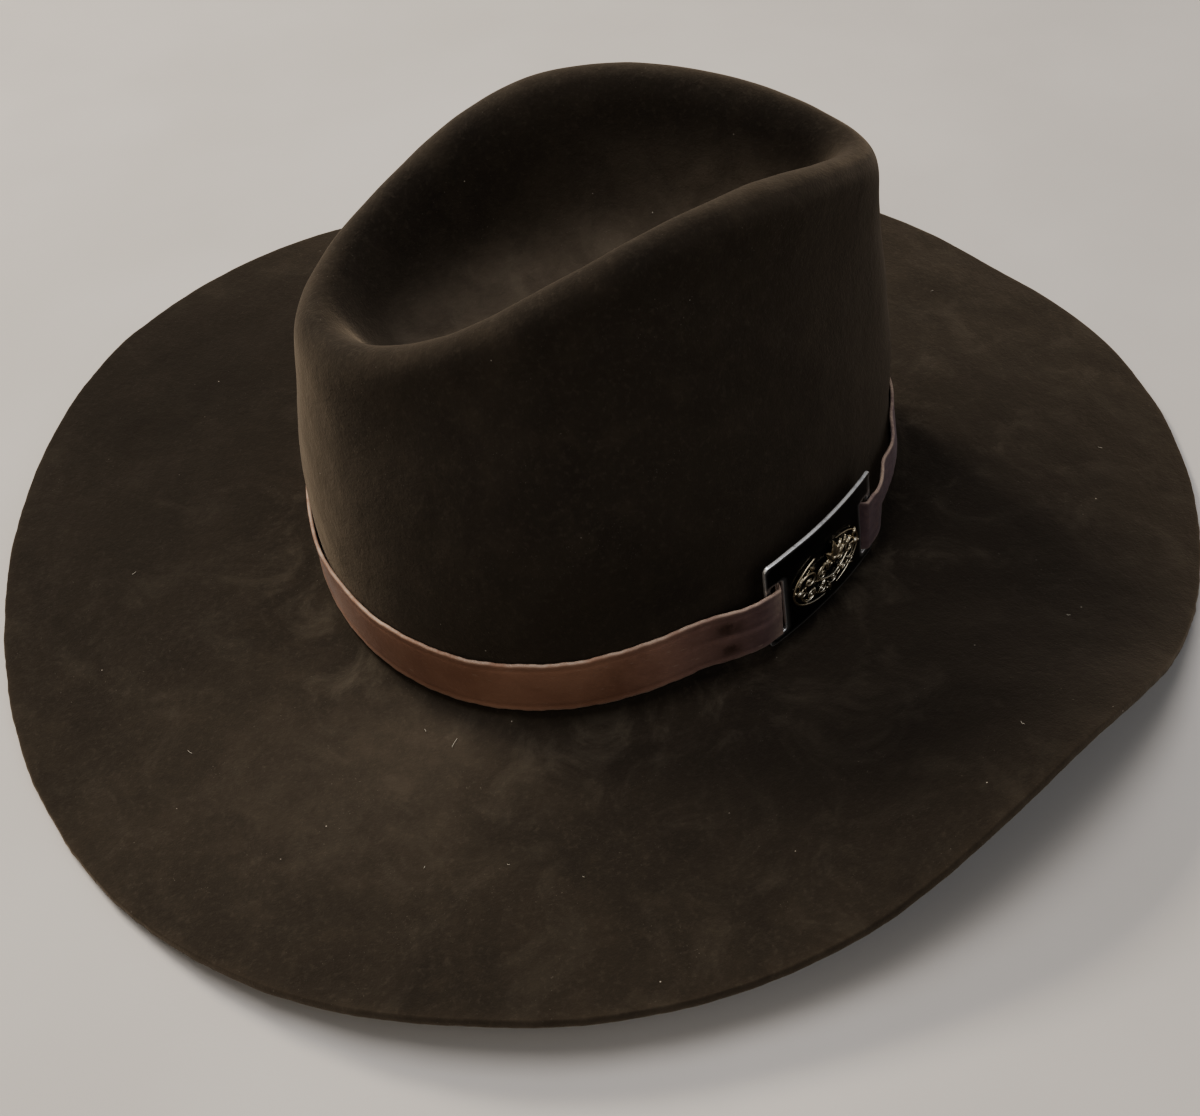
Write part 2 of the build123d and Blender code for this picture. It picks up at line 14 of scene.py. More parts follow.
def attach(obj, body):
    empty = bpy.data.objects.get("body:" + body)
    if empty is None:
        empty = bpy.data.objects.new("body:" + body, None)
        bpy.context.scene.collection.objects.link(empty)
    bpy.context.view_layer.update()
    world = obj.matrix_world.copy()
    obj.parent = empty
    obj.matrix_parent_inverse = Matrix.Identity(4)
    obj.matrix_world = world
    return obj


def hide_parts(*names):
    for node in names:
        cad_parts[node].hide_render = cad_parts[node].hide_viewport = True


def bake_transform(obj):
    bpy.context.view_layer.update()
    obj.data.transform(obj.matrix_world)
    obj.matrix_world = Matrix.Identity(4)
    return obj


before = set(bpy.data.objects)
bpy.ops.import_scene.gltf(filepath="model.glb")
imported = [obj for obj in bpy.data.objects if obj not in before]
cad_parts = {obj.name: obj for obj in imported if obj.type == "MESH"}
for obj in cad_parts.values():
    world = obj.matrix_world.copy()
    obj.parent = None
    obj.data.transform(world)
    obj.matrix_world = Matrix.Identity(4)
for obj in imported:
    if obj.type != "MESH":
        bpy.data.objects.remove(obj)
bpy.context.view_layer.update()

# ------------------------------------------------------------------ crown frame
CROWN_LEAN = np.array([0.031765, -0.039795, 1.0])
CROWN_AT = np.array([-0.282, -0.278, 8.204])          # mm
AXIS_Z = CROWN_LEAN / np.linalg.norm(CROWN_LEAN)
AXIS_X = np.array([AXIS_Z[2], 0.0, -AXIS_Z[0]])
AXIS_X /= np.linalg.norm(AXIS_X)
CROWN_AXES = np.vstack([AXIS_X, np.cross(AXIS_Z, AXIS_X), AXIS_Z])


def to_scene(points):
    """Crown frame in mm to scene in m."""
    return (np.asarray(points, float) @ CROWN_AXES.T + CROWN_AT) / 1000.0


# ------------------------------------------------------------------ small functions
def smooth(value):
    value = np.clip(value, 0, 1)
    return value * value * (3 - 2 * value)


def rise(value, start, length):
    """Smooth step from 0 at start to 1 at start + length."""
    return smooth((value - start) / length)


def bell(value, centre, width):
    return np.exp(-0.5 * ((value - centre) / width) ** 2)


def turn_bell(theta, centre, width):
    """Bell round the crown: theta in radians, centre and width in degrees."""
    return bell((np.degrees(theta) - centre + 180.0) % 360.0 - 180.0, 0.0, width)


def waves(points, size, count, seed, height=1.0):
    """Smooth seeded bumps: a sum of sines in random directions."""
    draws = np.random.default_rng(seed)
    total = np.zeros(points.shape[:-1])
    for _ in range(count):
        direction = draws.normal(size=3)
        length = np.linalg.norm(direction)
        direction *= (2 * np.pi / size) * draws.uniform(0.6, 1.5) / length
        total += np.sin(points @ direction + draws.uniform(0, 6.28))
    return total * height / math.sqrt(count / 2)


# ------------------------------------------------------------------ felt shape
FELT_THICK = 2.8
HALF_WIDTH, HALF_LENGTH = 87.7, 98.6                  # oval at the foot of the crown
EGG = 0.211                                           # narrows the front, widens the back
BRIM_WIDTH = 102.3
BRIM_CURL = 0.55                                      # share of the brim's rise that is curved
# brim slope in degrees round the crown: constant, then cosine and sine terms 1 to 8
BRIM_TILT = [2.57, -4.35, -5.76, -3.50, -1.42, -1.12, 3.63, -1.91, 1.18, 0.90, -0.28, 0.95,
             -0.92, -0.12, -0.24, -0.24, 0.41]
BRIM_STATIONS = (1.0, 0.97, 0.85, 0.68, 0.5, 0.33, 0.2, 0.10)
WALL_FOOT = 9.0
# bend from brim to wall: distance outside the oval, height
BEND = [(3.0, 0.2), (0.2, 3.0), (-0.4, WALL_FOOT)]
# upper rim of the crown: sine terms for x, constant and cosine terms for y and z
RIM_X, RIM_Y = [45.3, -3.3, -0.1], [0.3, 77.9, 2.6, 2.6]
RIM_Z = [106.4, 9.9, -10.5, -2.5, 0.2]
RIM_ROUND = 9.2
RIM_ARCH = [(0.75, 0.62), (0.0, 1.12), (-0.8, 0.55)]  # outward, upward, in rim rounds
# wall rings: share of the height, share of the way from oval to rim
WALL_RINGS = [(0.12, 0.03), (0.34, 0.13), (0.56, 0.34), (0.78, 0.70), (0.97, 1.0)]
# hollows in the wall: depth, turn, spread in degrees, share of the height, spread in height
HOLLOWS = [(4.0, 42, 26, 0.5, 0.45), (4.0, 318, 26, 0.5, 0.45),
           (3.0, 285, 22, 0.62, 0.22), (3.0, 75, 22, 0.62, 0.22)]
DENT_Y, DENT_Z, DENT_SLOPE = 2.0, 78.0, 0.10          # floor of the dent in the top
# dent rings: share of the plan size, share of the height from floor to rim
DENT_RINGS = [(0.95, 0.66), (0.86, 0.30), (0.66, 0.08), (0.42, 0.02), (0.2, 0.0)]


def oval(theta):
    sine, cosine = np.sin(theta), np.cos(theta)
    return np.stack([HALF_WIDTH * sine * (1 - EGG * cosine), -HALF_LENGTH * cosine], -1)


def rim(theta):
    x = sum(size * np.sin((k + 1) * theta) for k, size in enumerate(RIM_X))
    y = RIM_Y[0] - sum(RIM_Y[k] * np.cos(k * theta) for k in range(1, len(RIM_Y)))
    z = sum(size * np.cos(k * theta) for k, size in enumerate(RIM_Z))
    return np.stack([x, y, z], -1)


def outward(curve, theta):
    """Unit normal of a closed curve in plan."""
    step = curve(theta + 1e-3)[..., :2] - curve(theta - 1e-3)[..., :2]
    normal = np.stack([step[..., 1], -step[..., 0]], -1)
    return normal / np.linalg.norm(normal, axis=-1)[..., None]


def control_rings(theta):
    """Spline controls of the outer face, brim edge first: (control, theta, 3)."""
    foot, normal = oval(theta), outward(oval, theta)
    tilt = np.radians(BRIM_TILT[0] + sum(
        BRIM_TILT[2 * k - 1] * np.cos(k * theta) + BRIM_TILT[2 * k] * np.sin(k * theta)
        for k in range(1, 9)))
    rings = []

    def add_ring(plan, height):
        height = np.broadcast_to(height, theta.shape)[..., None]
        rings.append(np.concatenate([plan, height], -1))

    for share in BRIM_STATIONS:
        add_ring(foot + normal * (BRIM_WIDTH * share * np.cos(tilt))[..., None],
                 BRIM_WIDTH * np.sin(tilt) * ((1 - BRIM_CURL) * share + BRIM_CURL * share ** 2))
    for out, height in BEND:
        add_ring(foot + normal * out, height)
    crest, crest_normal = rim(theta), outward(rim, theta)
    crest_xy, crest_z = crest[..., :2], crest[..., 2]
    shoulder = crest_xy + crest_normal * RIM_ROUND
    for share, blend in WALL_RINGS:
        pull = sum(depth * turn_bell(theta, turn, spread) * bell(share, level, reach)
                   for depth, turn, spread, level, reach in HOLLOWS)
        add_ring(foot + (shoulder - foot) * blend - crest_normal * pull[..., None],
                 WALL_FOOT + (crest_z - 0.2 * RIM_ROUND - WALL_FOOT) * share)
    for out, lift in RIM_ARCH:
        add_ring(crest_xy + crest_normal * out * RIM_ROUND, crest_z + lift * RIM_ROUND)
    centre = np.array([0.0, DENT_Y])
    lip = crest_xy - crest_normal * RIM_ROUND - centre
    for share, lift in DENT_RINGS:
        floor = DENT_Z - DENT_SLOPE * lip[..., 1] * share
        add_ring(lip * share + centre, floor + (crest_z - floor) * lift)
    add_ring(np.zeros(theta.shape + (2,)) + centre, DENT_Z)
    return np.array(rings)


def spline_weights(across, controls):
    """Clamped uniform cubic spline weights, (len(across), controls)."""
    spans = controls - 3
    place = np.clip(across, 0, 1) * spans
    span = np.minimum(place.astype(int), spans - 1)

    def knot(index):
        return np.clip(index - 3, 0, spans).astype(float)

    terms = [np.ones(len(across))]
    for degree in range(1, 4):
        raised = [np.zeros(len(across)) for _ in range(degree + 1)]
        for j in range(degree):
            index = span + 3 - degree + 1 + j
            low, high = knot(index), knot(index + degree)
            share = (place - low) / np.maximum(high - low, 1e-12)
            raised[j] += terms[j] * (1 - share)
            raised[j + 1] += terms[j] * share
        terms = raised
    weights = np.zeros((len(across), controls))
    for j in range(4):
        weights[np.arange(len(across)), span + j] += terms[j]
    return weights


def surface(theta, across):
    """Outer face; across runs 0 at the brim edge to 1 at the middle of the dent."""
    rings = control_rings(theta)
    return np.einsum('vc,ctk->vtk', spline_weights(across, len(rings)), rings)


class CrownWall:
    def __init__(self, count=1440):
        self.count = count
        across = np.linspace(0.28, 0.66, 400)
        face = surface(np.linspace(0, 2 * np.pi, count, endpoint=False), across)
        self.levels = np.linspace(0.4, 66, 220)
        self.plan = np.zeros((len(self.levels), count, 2))
        for i in range(count):
            # the tiny slope keeps the heights strictly rising
            heights = np.maximum.accumulate(face[:, i, 2] + np.arange(len(across)) * 1e-7)
            for axis in (0, 1):
                self.plan[:, i, axis] = np.interp(self.levels, heights, face[:, i, axis])

    def __call__(self, turn, z, out):
        """Points at a turn and height, moved outward from the wall by out."""
        turn, z, out = np.broadcast_arrays(np.asarray(turn, float), z, out)
        column = (turn % 360.0) / 360.0 * self.count
        left = np.floor(column).astype(int) % self.count
        right = (left + 1) % self.count
        aside = (column - np.floor(column))[..., None]
        row = (z - self.levels[0]) / (self.levels[1] - self.levels[0])
        row = np.clip(row, 0, len(self.levels) - 1.001)
        low = row.astype(int)
        above = (row - low)[..., None]
        plan = self.plan
        point = ((plan[low, left] * (1 - above) + plan[low + 1, left] * above) * (1 - aside)
                 + (plan[low, right] * (1 - above) + plan[low + 1, right] * above) * aside)
        point = point + outward(oval, np.radians(turn)) * out[..., None]
        return np.concatenate([point, z[..., None]], -1)


wall = CrownWall()


# ------------------------------------------------------------------ meshes
def grid_faces(rows, cols, wrap_rows=False, wrap_cols=False, base=0, flip=False):
    """Quads of a grid of rows x cols points."""
    faces = []
    for i in range(rows if wrap_rows else rows - 1):
        here = base + i * cols
        after = base + ((i + 1) % rows) * cols
        for j in range(cols if wrap_cols else cols - 1):
            k = (j + 1) % cols
            if flip:
                faces.append((here + j, after + j, after + k, here + k))
            else:
                faces.append((here + j, here + k, after + k, after + j))
    return faces


def loft_faces(rings, sides):
    """Quads between rings of points, and a cap at each end."""
    faces = grid_faces(rings, sides, wrap_cols=True)
    faces.append(tuple(range(sides))[::-1])
    faces.append(tuple((rings - 1) * sides + i for i in range(sides)))
    return faces


def tube(path, radius, closed=False, sides=10):
    """Round tube along a path (n, 3); radius is a number or one value per point."""
    path = np.asarray(path, float)
    count = len(path)
    if closed:
        along = np.roll(path, -1, 0) - np.roll(path, 1, 0)
    else:
        along = np.gradient(path, axis=0)
    along /= np.linalg.norm(along, axis=1)[:, None] + 1e-12
    side = np.cross(along, np.array([0, 0, 1.0]))
    upright = np.linalg.norm(side, axis=1) < 0.2
    side[upright] = np.cross(along[upright], np.array([1.0, 0, 0]))
    side /= np.linalg.norm(side, axis=1)[:, None]
    other = np.cross(side, along)
    angle = np.linspace(0, 2 * np.pi, sides, endpoint=False)[None, :, None]
    radius = np.broadcast_to(radius, (count,))[:, None, None]
    rings = path[:, None] + radius * (np.cos(angle) * side[:, None]
                                      + np.sin(angle) * other[:, None])
    if closed:
        faces = grid_faces(count, sides, wrap_rows=True, wrap_cols=True)
    else:
        faces = loft_faces(count, sides)
    return rings.reshape(-1, 3), faces


def sheet(face, back):
    """Closed sheet between two point grids of the same shape (rows, cols, 3)."""
    rows, cols = face.shape[:2]
    count = rows * cols
    faces = grid_faces(rows, cols) + grid_faces(rows, cols, base=count, flip=True)
    border = list(range(cols)) + [(i + 1) * cols - 1 for i in range(1, rows)]
    border += [(rows - 1) * cols + j for j in range(cols - 2, -1, -1)]
    border += [i * cols for i in range(rows - 2, 0, -1)]
    for this, after in zip(border, border[1:] + border[:1]):
        faces.append((this, after, after + count, this + count))
    return np.vstack([face.reshape(-1, 3), back.reshape(-1, 3)]), faces


def merge(parts):
    """Join (verts, faces) pairs into one."""
    verts, faces, base = [], [], 0
    for part_verts, part_faces in parts:
        verts.append(np.asarray(part_verts))
        faces += [tuple(i + base for i in face) for face in part_faces]
        base += len(part_verts)
    return np.concatenate(verts), faces


def new_object(name, verts, faces, material, attributes=None, outward_faces=False, weld=False):
    """Smooth-shaded object from crown-frame points, with float attributes per point."""
    mesh = bpy.data.meshes.new(name)
    mesh.from_pydata([tuple(point) for point in to_scene(verts)], [], faces)
    mesh.validate(clean_customdata=False)
    mesh.update()
    mesh.polygons.foreach_set("use_smooth", [True] * len(mesh.polygons))
    for key, values in (attributes or {}).items():
        attribute = mesh.attributes.new(key, "FLOAT", "POINT")
        attribute.data.foreach_set("value", np.asarray(values, np.float32).ravel())
    piece = bpy.data.objects.new(name, mesh)
    bpy.context.scene.collection.objects.link(piece)
    if outward_faces:
        edit = bmesh.new()
        edit.from_mesh(mesh)
        if weld:
            bmesh.ops.remove_doubles(edit, verts=edit.verts, dist=1e-6)
        bmesh.ops.recalc_face_normals(edit, faces=edit.faces)
        edit.to_mesh(mesh)
        edit.free()
    mesh.materials.append(MATERIALS[material])
    return piece


def add_piece(name, solid, material, slot, node=None, body="hat", **options):
    piece = new_object(name, *solid, material, **options)
    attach(piece, body)
    if node:
        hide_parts(node)


# ------------------------------------------------------------------ shader nodes
class Material:
    """A Principled material and short calls for the nodes that feed it."""

    def __init__(self, name):
        self.material = bpy.data.materials.new(name)
        self.material.use_nodes = True
        self.tree = self.material.node_tree
        self.tree.nodes.clear()
        output = self.tree.nodes.new("ShaderNodeOutputMaterial")
        self.shader = self.tree.nodes.new("ShaderNodeBsdfPrincipled")
        self.tree.links.new(self.shader.outputs[0], output.inputs[0])
        self.position = self.tree.nodes.new("ShaderNodeTexCoord").outputs["Object"]

    def node(self, kind, inputs, **settings):
        """Add a node; inputs maps a socket's name or index to a value or a socket."""
        node = self.tree.nodes.new(kind)
        for key, value in settings.items():
            setattr(node, key, value)
        for key, value in inputs.items():
            if isinstance(value, bpy.types.NodeSocket):
                self.tree.links.new(value, node.inputs[key])
            elif value is not None:
                node.inputs[key].default_value = value
        return node

    def noise(self, scale=1.0, detail=2.0, rough=0.5, distort=0.0, stretch=None):
        vector = self.position
        if stretch:
            vector = self.node("ShaderNodeMapping", {0: vector, "Scale": stretch}).outputs[0]
        return self.node("ShaderNodeTexNoise", {
            "Scale": scale, "Detail": detail, "Roughness": rough, "Distortion": distort,
            "Vector": vector}).outputs["Fac"]

    def voronoi(self, scale, feature="F1"):
        return self.node("ShaderNodeTexVoronoi", {"Scale": scale, "Vector": self.position},
                         feature=feature).outputs["Distance"]

    def math(self, operation, first, second=None, third=None):
        return self.node("ShaderNodeMath", {0: first, 1: second, 2: third},
                         operation=operation).outputs[0]

    def multiply(self, first, second):
        return self.math("MULTIPLY", first, second)

    def scaled(self, value, factor, plus):
        return self.math("MULTIPLY_ADD", value, factor, plus)

    def ramp(self, value, low, high, start=0.0, end=1.0):
        """Smooth step from start at low to end at high."""
        return self.node("ShaderNodeMapRange", {0: value, 1: low, 2: high, 3: start, 4: end},
                         interpolation_type="SMOOTHSTEP").outputs[0]

    def layer(self, base, colour, mask, amount=None):
        """Lay a colour over the base where the mask is high."""
        if amount is not None:
            mask = self.multiply(mask, amount)
        inputs = {0: mask}
        for key, value in ((6, base), (7, colour)):
            is_socket = isinstance(value, bpy.types.NodeSocket)
            inputs[key] = value if is_socket else tuple(value) + (1.0,)
        return self.node("ShaderNodeMix", inputs, data_type="RGBA", blend_type="MIX",
                         clamp_factor=True).outputs[2]

    def attribute(self, name):
        return self.node("ShaderNodeAttribute", {}, attribute_name=name).outputs["Fac"]

    def coordinate(self, axis):
        return self.node("ShaderNodeSeparateXYZ", {0: self.position}).outputs[axis]

    def bump(self, height, strength, distance, under=None):
        return self.node("ShaderNodeBump", {"Strength": strength, "Distance": distance,
                                            "Height": height, "Normal": under}).outputs[0]

    def finish(self, colour, roughness, normal, **settings):
        for key, value in settings.items():
            self.shader.inputs[key.replace("_", " ")].default_value = value
        for key, socket in (("Base Color", colour), ("Roughness", roughness),
                            ("Normal", normal)):
            self.tree.links.new(socket, self.shader.inputs[key])
        return self.material


def shade(colour, factor, plus=0.0):
    return tuple(min(1.0, part * factor + plus) for part in colour)


# ------------------------------------------------------------------ materials
def felt_material(name):
    mat = Material(name)
    big = mat.noise(20, detail=6, rough=0.62, distort=0.5)
    middle = mat.noise(105, detail=5, rough=0.66, distort=0.3)
    nap = mat.noise(620, detail=3, rough=0.6, distort=0.2)
    hair = mat.noise(stretch=(900, 2600, 900), detail=3, rough=0.6)
    base = mat.layer((0.0098, 0.0070, 0.0045), (0.0170, 0.0124, 0.0080),
                     mat.ramp(big, low=0.34, high=0.68))
    base = mat.layer(base, (0.0255, 0.0188, 0.0120),
                     mat.ramp(middle, low=0.45, high=0.75), amount=0.55)
    base = mat.layer(base, (0.040, 0.031, 0.021),
                     mat.ramp(nap, low=0.50, high=0.78), amount=0.45)
    base = mat.layer(base, (0.046, 0.036, 0.025),
                     mat.ramp(hair, low=0.55, high=0.8), amount=0.30)
    # worn, browner felt on the rim of the crown and at the brim edge
    wear = mat.multiply(mat.attribute("wear"), mat.ramp(middle, low=0.25, high=0.62, start=0.35))
    base = mat.layer(base, (0.050, 0.036, 0.023), wear, amount=0.55)
    # darker places are painted shade and paler, faded-looking places are painted light, laid on the
    # felt colour in patches
    painted_shade = mat.multiply(mat.attribute("painted_shade"), mat.ramp(middle, low=0.2, high=0.7, start=0.65))
    base = mat.layer(base, (0.0052, 0.0035, 0.0022), painted_shade)
    painted_light = mat.multiply(mat.attribute("painted_light"), mat.ramp(middle, low=0.2, high=0.7, start=0.55))
    base = mat.layer(base, (0.082, 0.065, 0.047), painted_light)
    # settled dust (raised in the dent as partly painted light, thinned at the back left of the brim
    # as painted shade), fine grains of dust, and a few lint specks
    dust_and_painted_light = mat.multiply(mat.attribute("dust_and_painted_light"), mat.ramp(
        mat.noise(38, detail=6, rough=0.7, distort=1.0), low=0.46, high=0.74))
    base = mat.layer(base, (0.105, 0.088, 0.064), dust_and_painted_light, amount=0.38)
    grains = mat.multiply(mat.ramp(mat.noise(1900, detail=1), low=0.70, high=0.80),
                          mat.ramp(mat.noise(60, detail=4, rough=0.6), low=0.46, high=0.66))
    base = mat.layer(base, (0.16, 0.14, 0.11), grains, amount=0.5)
    specks = mat.multiply(mat.ramp(mat.voronoi(210), low=0.055, high=0.035),
                          mat.ramp(mat.noise(55), low=0.60, high=0.66))
    base = mat.layer(base, (0.38, 0.34, 0.28), specks, amount=0.8)
    roughness = mat.scaled(nap, factor=-0.12, plus=0.97)
    relief = mat.bump(mat.noise(1500, rough=0.6), strength=0.30, distance=0.00035)
    relief = mat.bump(mat.noise(330, detail=4, rough=0.65, distort=0.3),
                      strength=0.32, distance=0.0006, under=relief)
    relief = mat.bump(middle, strength=0.22, distance=0.0014, under=relief)
    return mat.finish(base, roughness, relief, Sheen_Weight=0.35, Sheen_Roughness=0.55,
                      Sheen_Tint=(0.55, 0.44, 0.32, 1.0), Specular_IOR_Level=0.18)


def leather_material(name, dark, light, worn, grain, gloss, cool=None, sheen=0.0):
    """Leather; cool is a pair of colours that takes over towards -X and -Y."""
    mat = Material(name)
    big = mat.noise(30, detail=4, rough=0.6, distort=0.5)
    fine = mat.noise(420, detail=5, rough=0.6)
    base = mat.layer(dark, light, mat.ramp(big, low=0.32, high=0.7))
    if cool:
        where = mat.multiply(
            mat.ramp(mat.coordinate(1), low=-0.045, high=0.036, start=1.0, end=0.0),
            mat.ramp(mat.coordinate(0), low=-0.050, high=0.070, start=1.0, end=0.30))
        base = mat.layer(base, mat.layer(*cool, mat.ramp(fine, low=0.3, high=0.7)), where)
    base = mat.layer(base, light, mat.ramp(fine, low=0.5, high=0.8), amount=0.35)
    wear = mat.multiply(mat.attribute("wear"), mat.ramp(
        mat.noise(160, detail=4, rough=0.7), low=0.30, high=0.62, start=0.25))
    smudge = mat.multiply(mat.attribute("smudge"), mat.ramp(
        mat.noise(210, detail=4, rough=0.65), low=0.35, high=0.60, start=0.5, end=0.9))
    base = mat.layer(base, shade(dark, 0.22), smudge)
    base = mat.layer(base, worn, wear)
    scuff = mat.noise(stretch=(240, 240, 1500), detail=3, rough=0.6, distort=0.3)
    base = mat.layer(base, worn, mat.ramp(scuff, low=0.64, high=0.74), amount=0.35)
    spots = mat.multiply(mat.ramp(mat.voronoi(260), low=0.10, high=0.05),
                         mat.ramp(mat.noise(40), low=0.60, high=0.68))
    base = mat.layer(base, shade(dark, 0.35), spots)
    cells = mat.voronoi(grain, feature="DISTANCE_TO_EDGE")
    relief = mat.bump(mat.ramp(cells, low=0.0, high=0.12), strength=0.20, distance=0.00022)
    relief = mat.bump(fine, strength=0.25, distance=0.0005, under=relief)
    relief = mat.bump(big, strength=0.15, distance=0.0012, under=relief)
    roughness = mat.scaled(mat.noise(90, detail=3), factor=0.25, plus=gloss - 0.1)
    return mat.finish(base, roughness, relief, Specular_IOR_Level=0.4, Sheen_Weight=sheen,
                      Sheen_Roughness=0.4)


def cloth_material(name, dark, light, weave_scale, rough, sheen=0.4):
    mat = Material(name)
    x, y, z = (mat.coordinate(axis) for axis in range(3))
    warp = mat.math("SINE", mat.multiply(mat.math("ADD", x, y), weave_scale * 3.0))
    weft = mat.math("SINE", mat.multiply(z, weave_scale * 3.0))
    weave = mat.scaled(mat.multiply(warp, weft), factor=0.5, plus=0.5)
    blot = mat.noise(45, detail=5, rough=0.6)
    base = mat.layer(dark, light, mat.ramp(blot, low=0.3, high=0.7))
    base = mat.layer(base, shade(dark, 0.55), weave, amount=0.35)
    fluff = mat.ramp(mat.noise(700, detail=3), low=0.55, high=0.8)
    base = mat.layer(base, shade(light, 1.5), fluff, amount=0.3)
    relief = mat.bump(weave, strength=0.35, distance=0.0002)
    relief = mat.bump(mat.noise(120, detail=4), strength=0.25, distance=0.0012, under=relief)
    return mat.finish(base, mat.scaled(blot, factor=0.12, plus=rough - 0.06), relief,
                      Sheen_Weight=sheen, Sheen_Roughness=0.45)


def thread_material(name, dark, light):
    mat = Material(name)
    strands = mat.noise(stretch=(2500, 2500, 5200), detail=3, rough=0.6, distort=0.5)
    base = mat.layer(dark, light, mat.ramp(strands, low=0.35, high=0.65))
    soil = mat.ramp(mat.noise(90, detail=3), low=0.45, high=0.7)
    base = mat.layer(base, shade(dark, 0.6), soil, amount=0.5)
    roughness = mat.scaled(strands, factor=0.15, plus=0.62)
    relief = mat.bump(strands, strength=0.6, distance=0.0003)
    return mat.finish(base, roughness, relief, Sheen_Weight=0.3)


def metal_material(name, face, edge, rough, edge_rough, metallic=1.0, coat=0.0):
    mat = Material(name)
    fine = mat.noise(300, detail=5, rough=0.65)
    smear = mat.noise(45, detail=4, rough=0.6, distort=1.2)
    brushed = mat.noise(stretch=(300, 300, 6000))
    base = mat.layer(face, shade(face, 1.45, plus=0.004), mat.ramp(smear, low=0.35, high=0.7))
    base = mat.layer(base, shade(face, 0.45), mat.ramp(fine, low=0.60, high=0.72), amount=0.25)
    wear = mat.multiply(mat.attribute("wear"), mat.ramp(fine, low=0.22, high=0.50, start=0.45))
    base = mat.layer(base, edge, wear)
    scratches = mat.noise(stretch=(3200, 3200, 260), detail=4, rough=0.7, distort=0.4)
    base = mat.layer(base, edge, mat.ramp(scratches, low=0.70, high=0.76), amount=0.22)
    roughness = mat.scaled(smear, factor=0.20, plus=rough - 0.08)
    roughness = mat.scaled(mat.multiply(wear, -1.0), factor=max(rough - edge_rough, 0.0),
                           plus=roughness)
    relief = mat.bump(brushed, strength=0.05, distance=0.0001)
    relief = mat.bump(fine, strength=0.06, distance=0.0003, under=relief)
    return mat.finish(base, roughness, relief, Metallic=metallic, Coat_Weight=coat,
                      Coat_Roughness=0.12)


def floor_material():
    mat = Material("floor_pale")
    blot = mat.noise(6, detail=4)
    base = mat.layer((0.47, 0.44, 0.40), (0.51, 0.48, 0.44), mat.ramp(blot, low=0.3, high=0.7))
    roughness = mat.scaled(blot, factor=0.05, plus=0.85)
    relief = mat.bump(mat.noise(400, detail=3), strength=0.05, distance=0.0004)
    return mat.finish(base, roughness, relief, Specular_IOR_Level=0.15)


MATERIALS = {
    "felt": felt_material("felt_brown"),
    "strap": leather_material(
        "strap_leather", dark=(0.185, 0.088, 0.050), light=(0.270, 0.140, 0.085),
        worn=(0.38, 0.28, 0.21), cool=((0.125, 0.080, 0.084), (0.190, 0.128, 0.130)),
        grain=1500, gloss=0.62, sheen=0.10),
    "sweat": leather_material(
        "sweatband_leather", dark=(0.075, 0.038, 0.020), light=(0.150, 0.080, 0.042),
        worn=(0.05, 0.027, 0.016), grain=1100, gloss=0.50),
    "lining": cloth_material("lining_satin", dark=(0.20, 0.13, 0.070),
                             light=(0.36, 0.26, 0.155), weave_scale=1600, rough=0.45, sheen=0.5),
    "piping": cloth_material("piping_cord", dark=(0.07, 0.045, 0.028),
                             light=(0.14, 0.095, 0.06), weave_scale=1200, rough=0.7),
    "tape": cloth_material("reed_tape", dark=(0.020, 0.015, 0.012),
                           light=(0.05, 0.038, 0.03), weave_scale=1000, rough=0.8),
    "ribbon": cloth_material("bow_ribbon", dark=(0.030, 0.018, 0.012),
                             light=(0.075, 0.048, 0.032), weave_scale=900, rough=0.6, sheen=0.5),
    "label": cloth_material("label_cloth", dark=(0.50, 0.46, 0.37),
                            light=(0.68, 0.64, 0.53), weave_scale=1500, rough=0.8),
    "thread": thread_material("thread_tan", dark=(0.26, 0.19, 0.12), light=(0.46, 0.37, 0.25)),
    "thread_dark": thread_material("thread_dark", dark=(0.035, 0.024, 0.018),
                                   light=(0.09, 0.06, 0.045)),
    "plate": metal_material("plaque_black", face=(0.012, 0.0125, 0.014), edge=(0.94, 0.93, 0.90),
                            rough=0.34, edge_rough=0.34, metallic=0.85, coat=0.6),
    "gold": metal_material("ornament_pale_gold", face=(0.55, 0.47, 0.33),
                           edge=(0.88, 0.82, 0.68), rough=0.30, edge_rough=0.18),
    "reed": cloth_material("reed_plastic", dark=(0.60, 0.58, 0.50),
                           light=(0.78, 0.75, 0.66), weave_scale=500, rough=0.5, sheen=0.0),
}

# ------------------------------------------------------------------ felt body
FELT_COLUMNS, OUTER_ROWS, INNER_ROWS = 600, 330, 130
EDGE_BULGE = 0.75
# overall unevenness: wave size, count, seed, height
FELT_RELIEF = [(95.0, 26, 11, 0.42), (38.0, 30, 12, 0.16), (15.0, 30, 13, 0.045)]
EDGE_FUZZ = [(7.0, 40, 21, 0.10), (2.6, 40, 22, 0.05)]
# creases in the dent: start, end, width, depth
CREASES = [((-6, 20), (12, 30), 2.6, 0.9), ((-14, 4), (2, -12), 3.4, 0.55),
           ((-20, 40), (-8, 52), 3.0, 0.7), ((6, -30), (14, -46), 3.5, 0.5),
           ((10, 12), (22, 4), 3.0, 0.45)]
# ripples on each side of the front: turn, wavelength / 2 pi, phase
RIPPLES = [(322, 6.5, 1.3), (38, 7.5, 0.0)]
RIPPLE_HEIGHT, RIPPLE_SPREAD = 0.5, 16
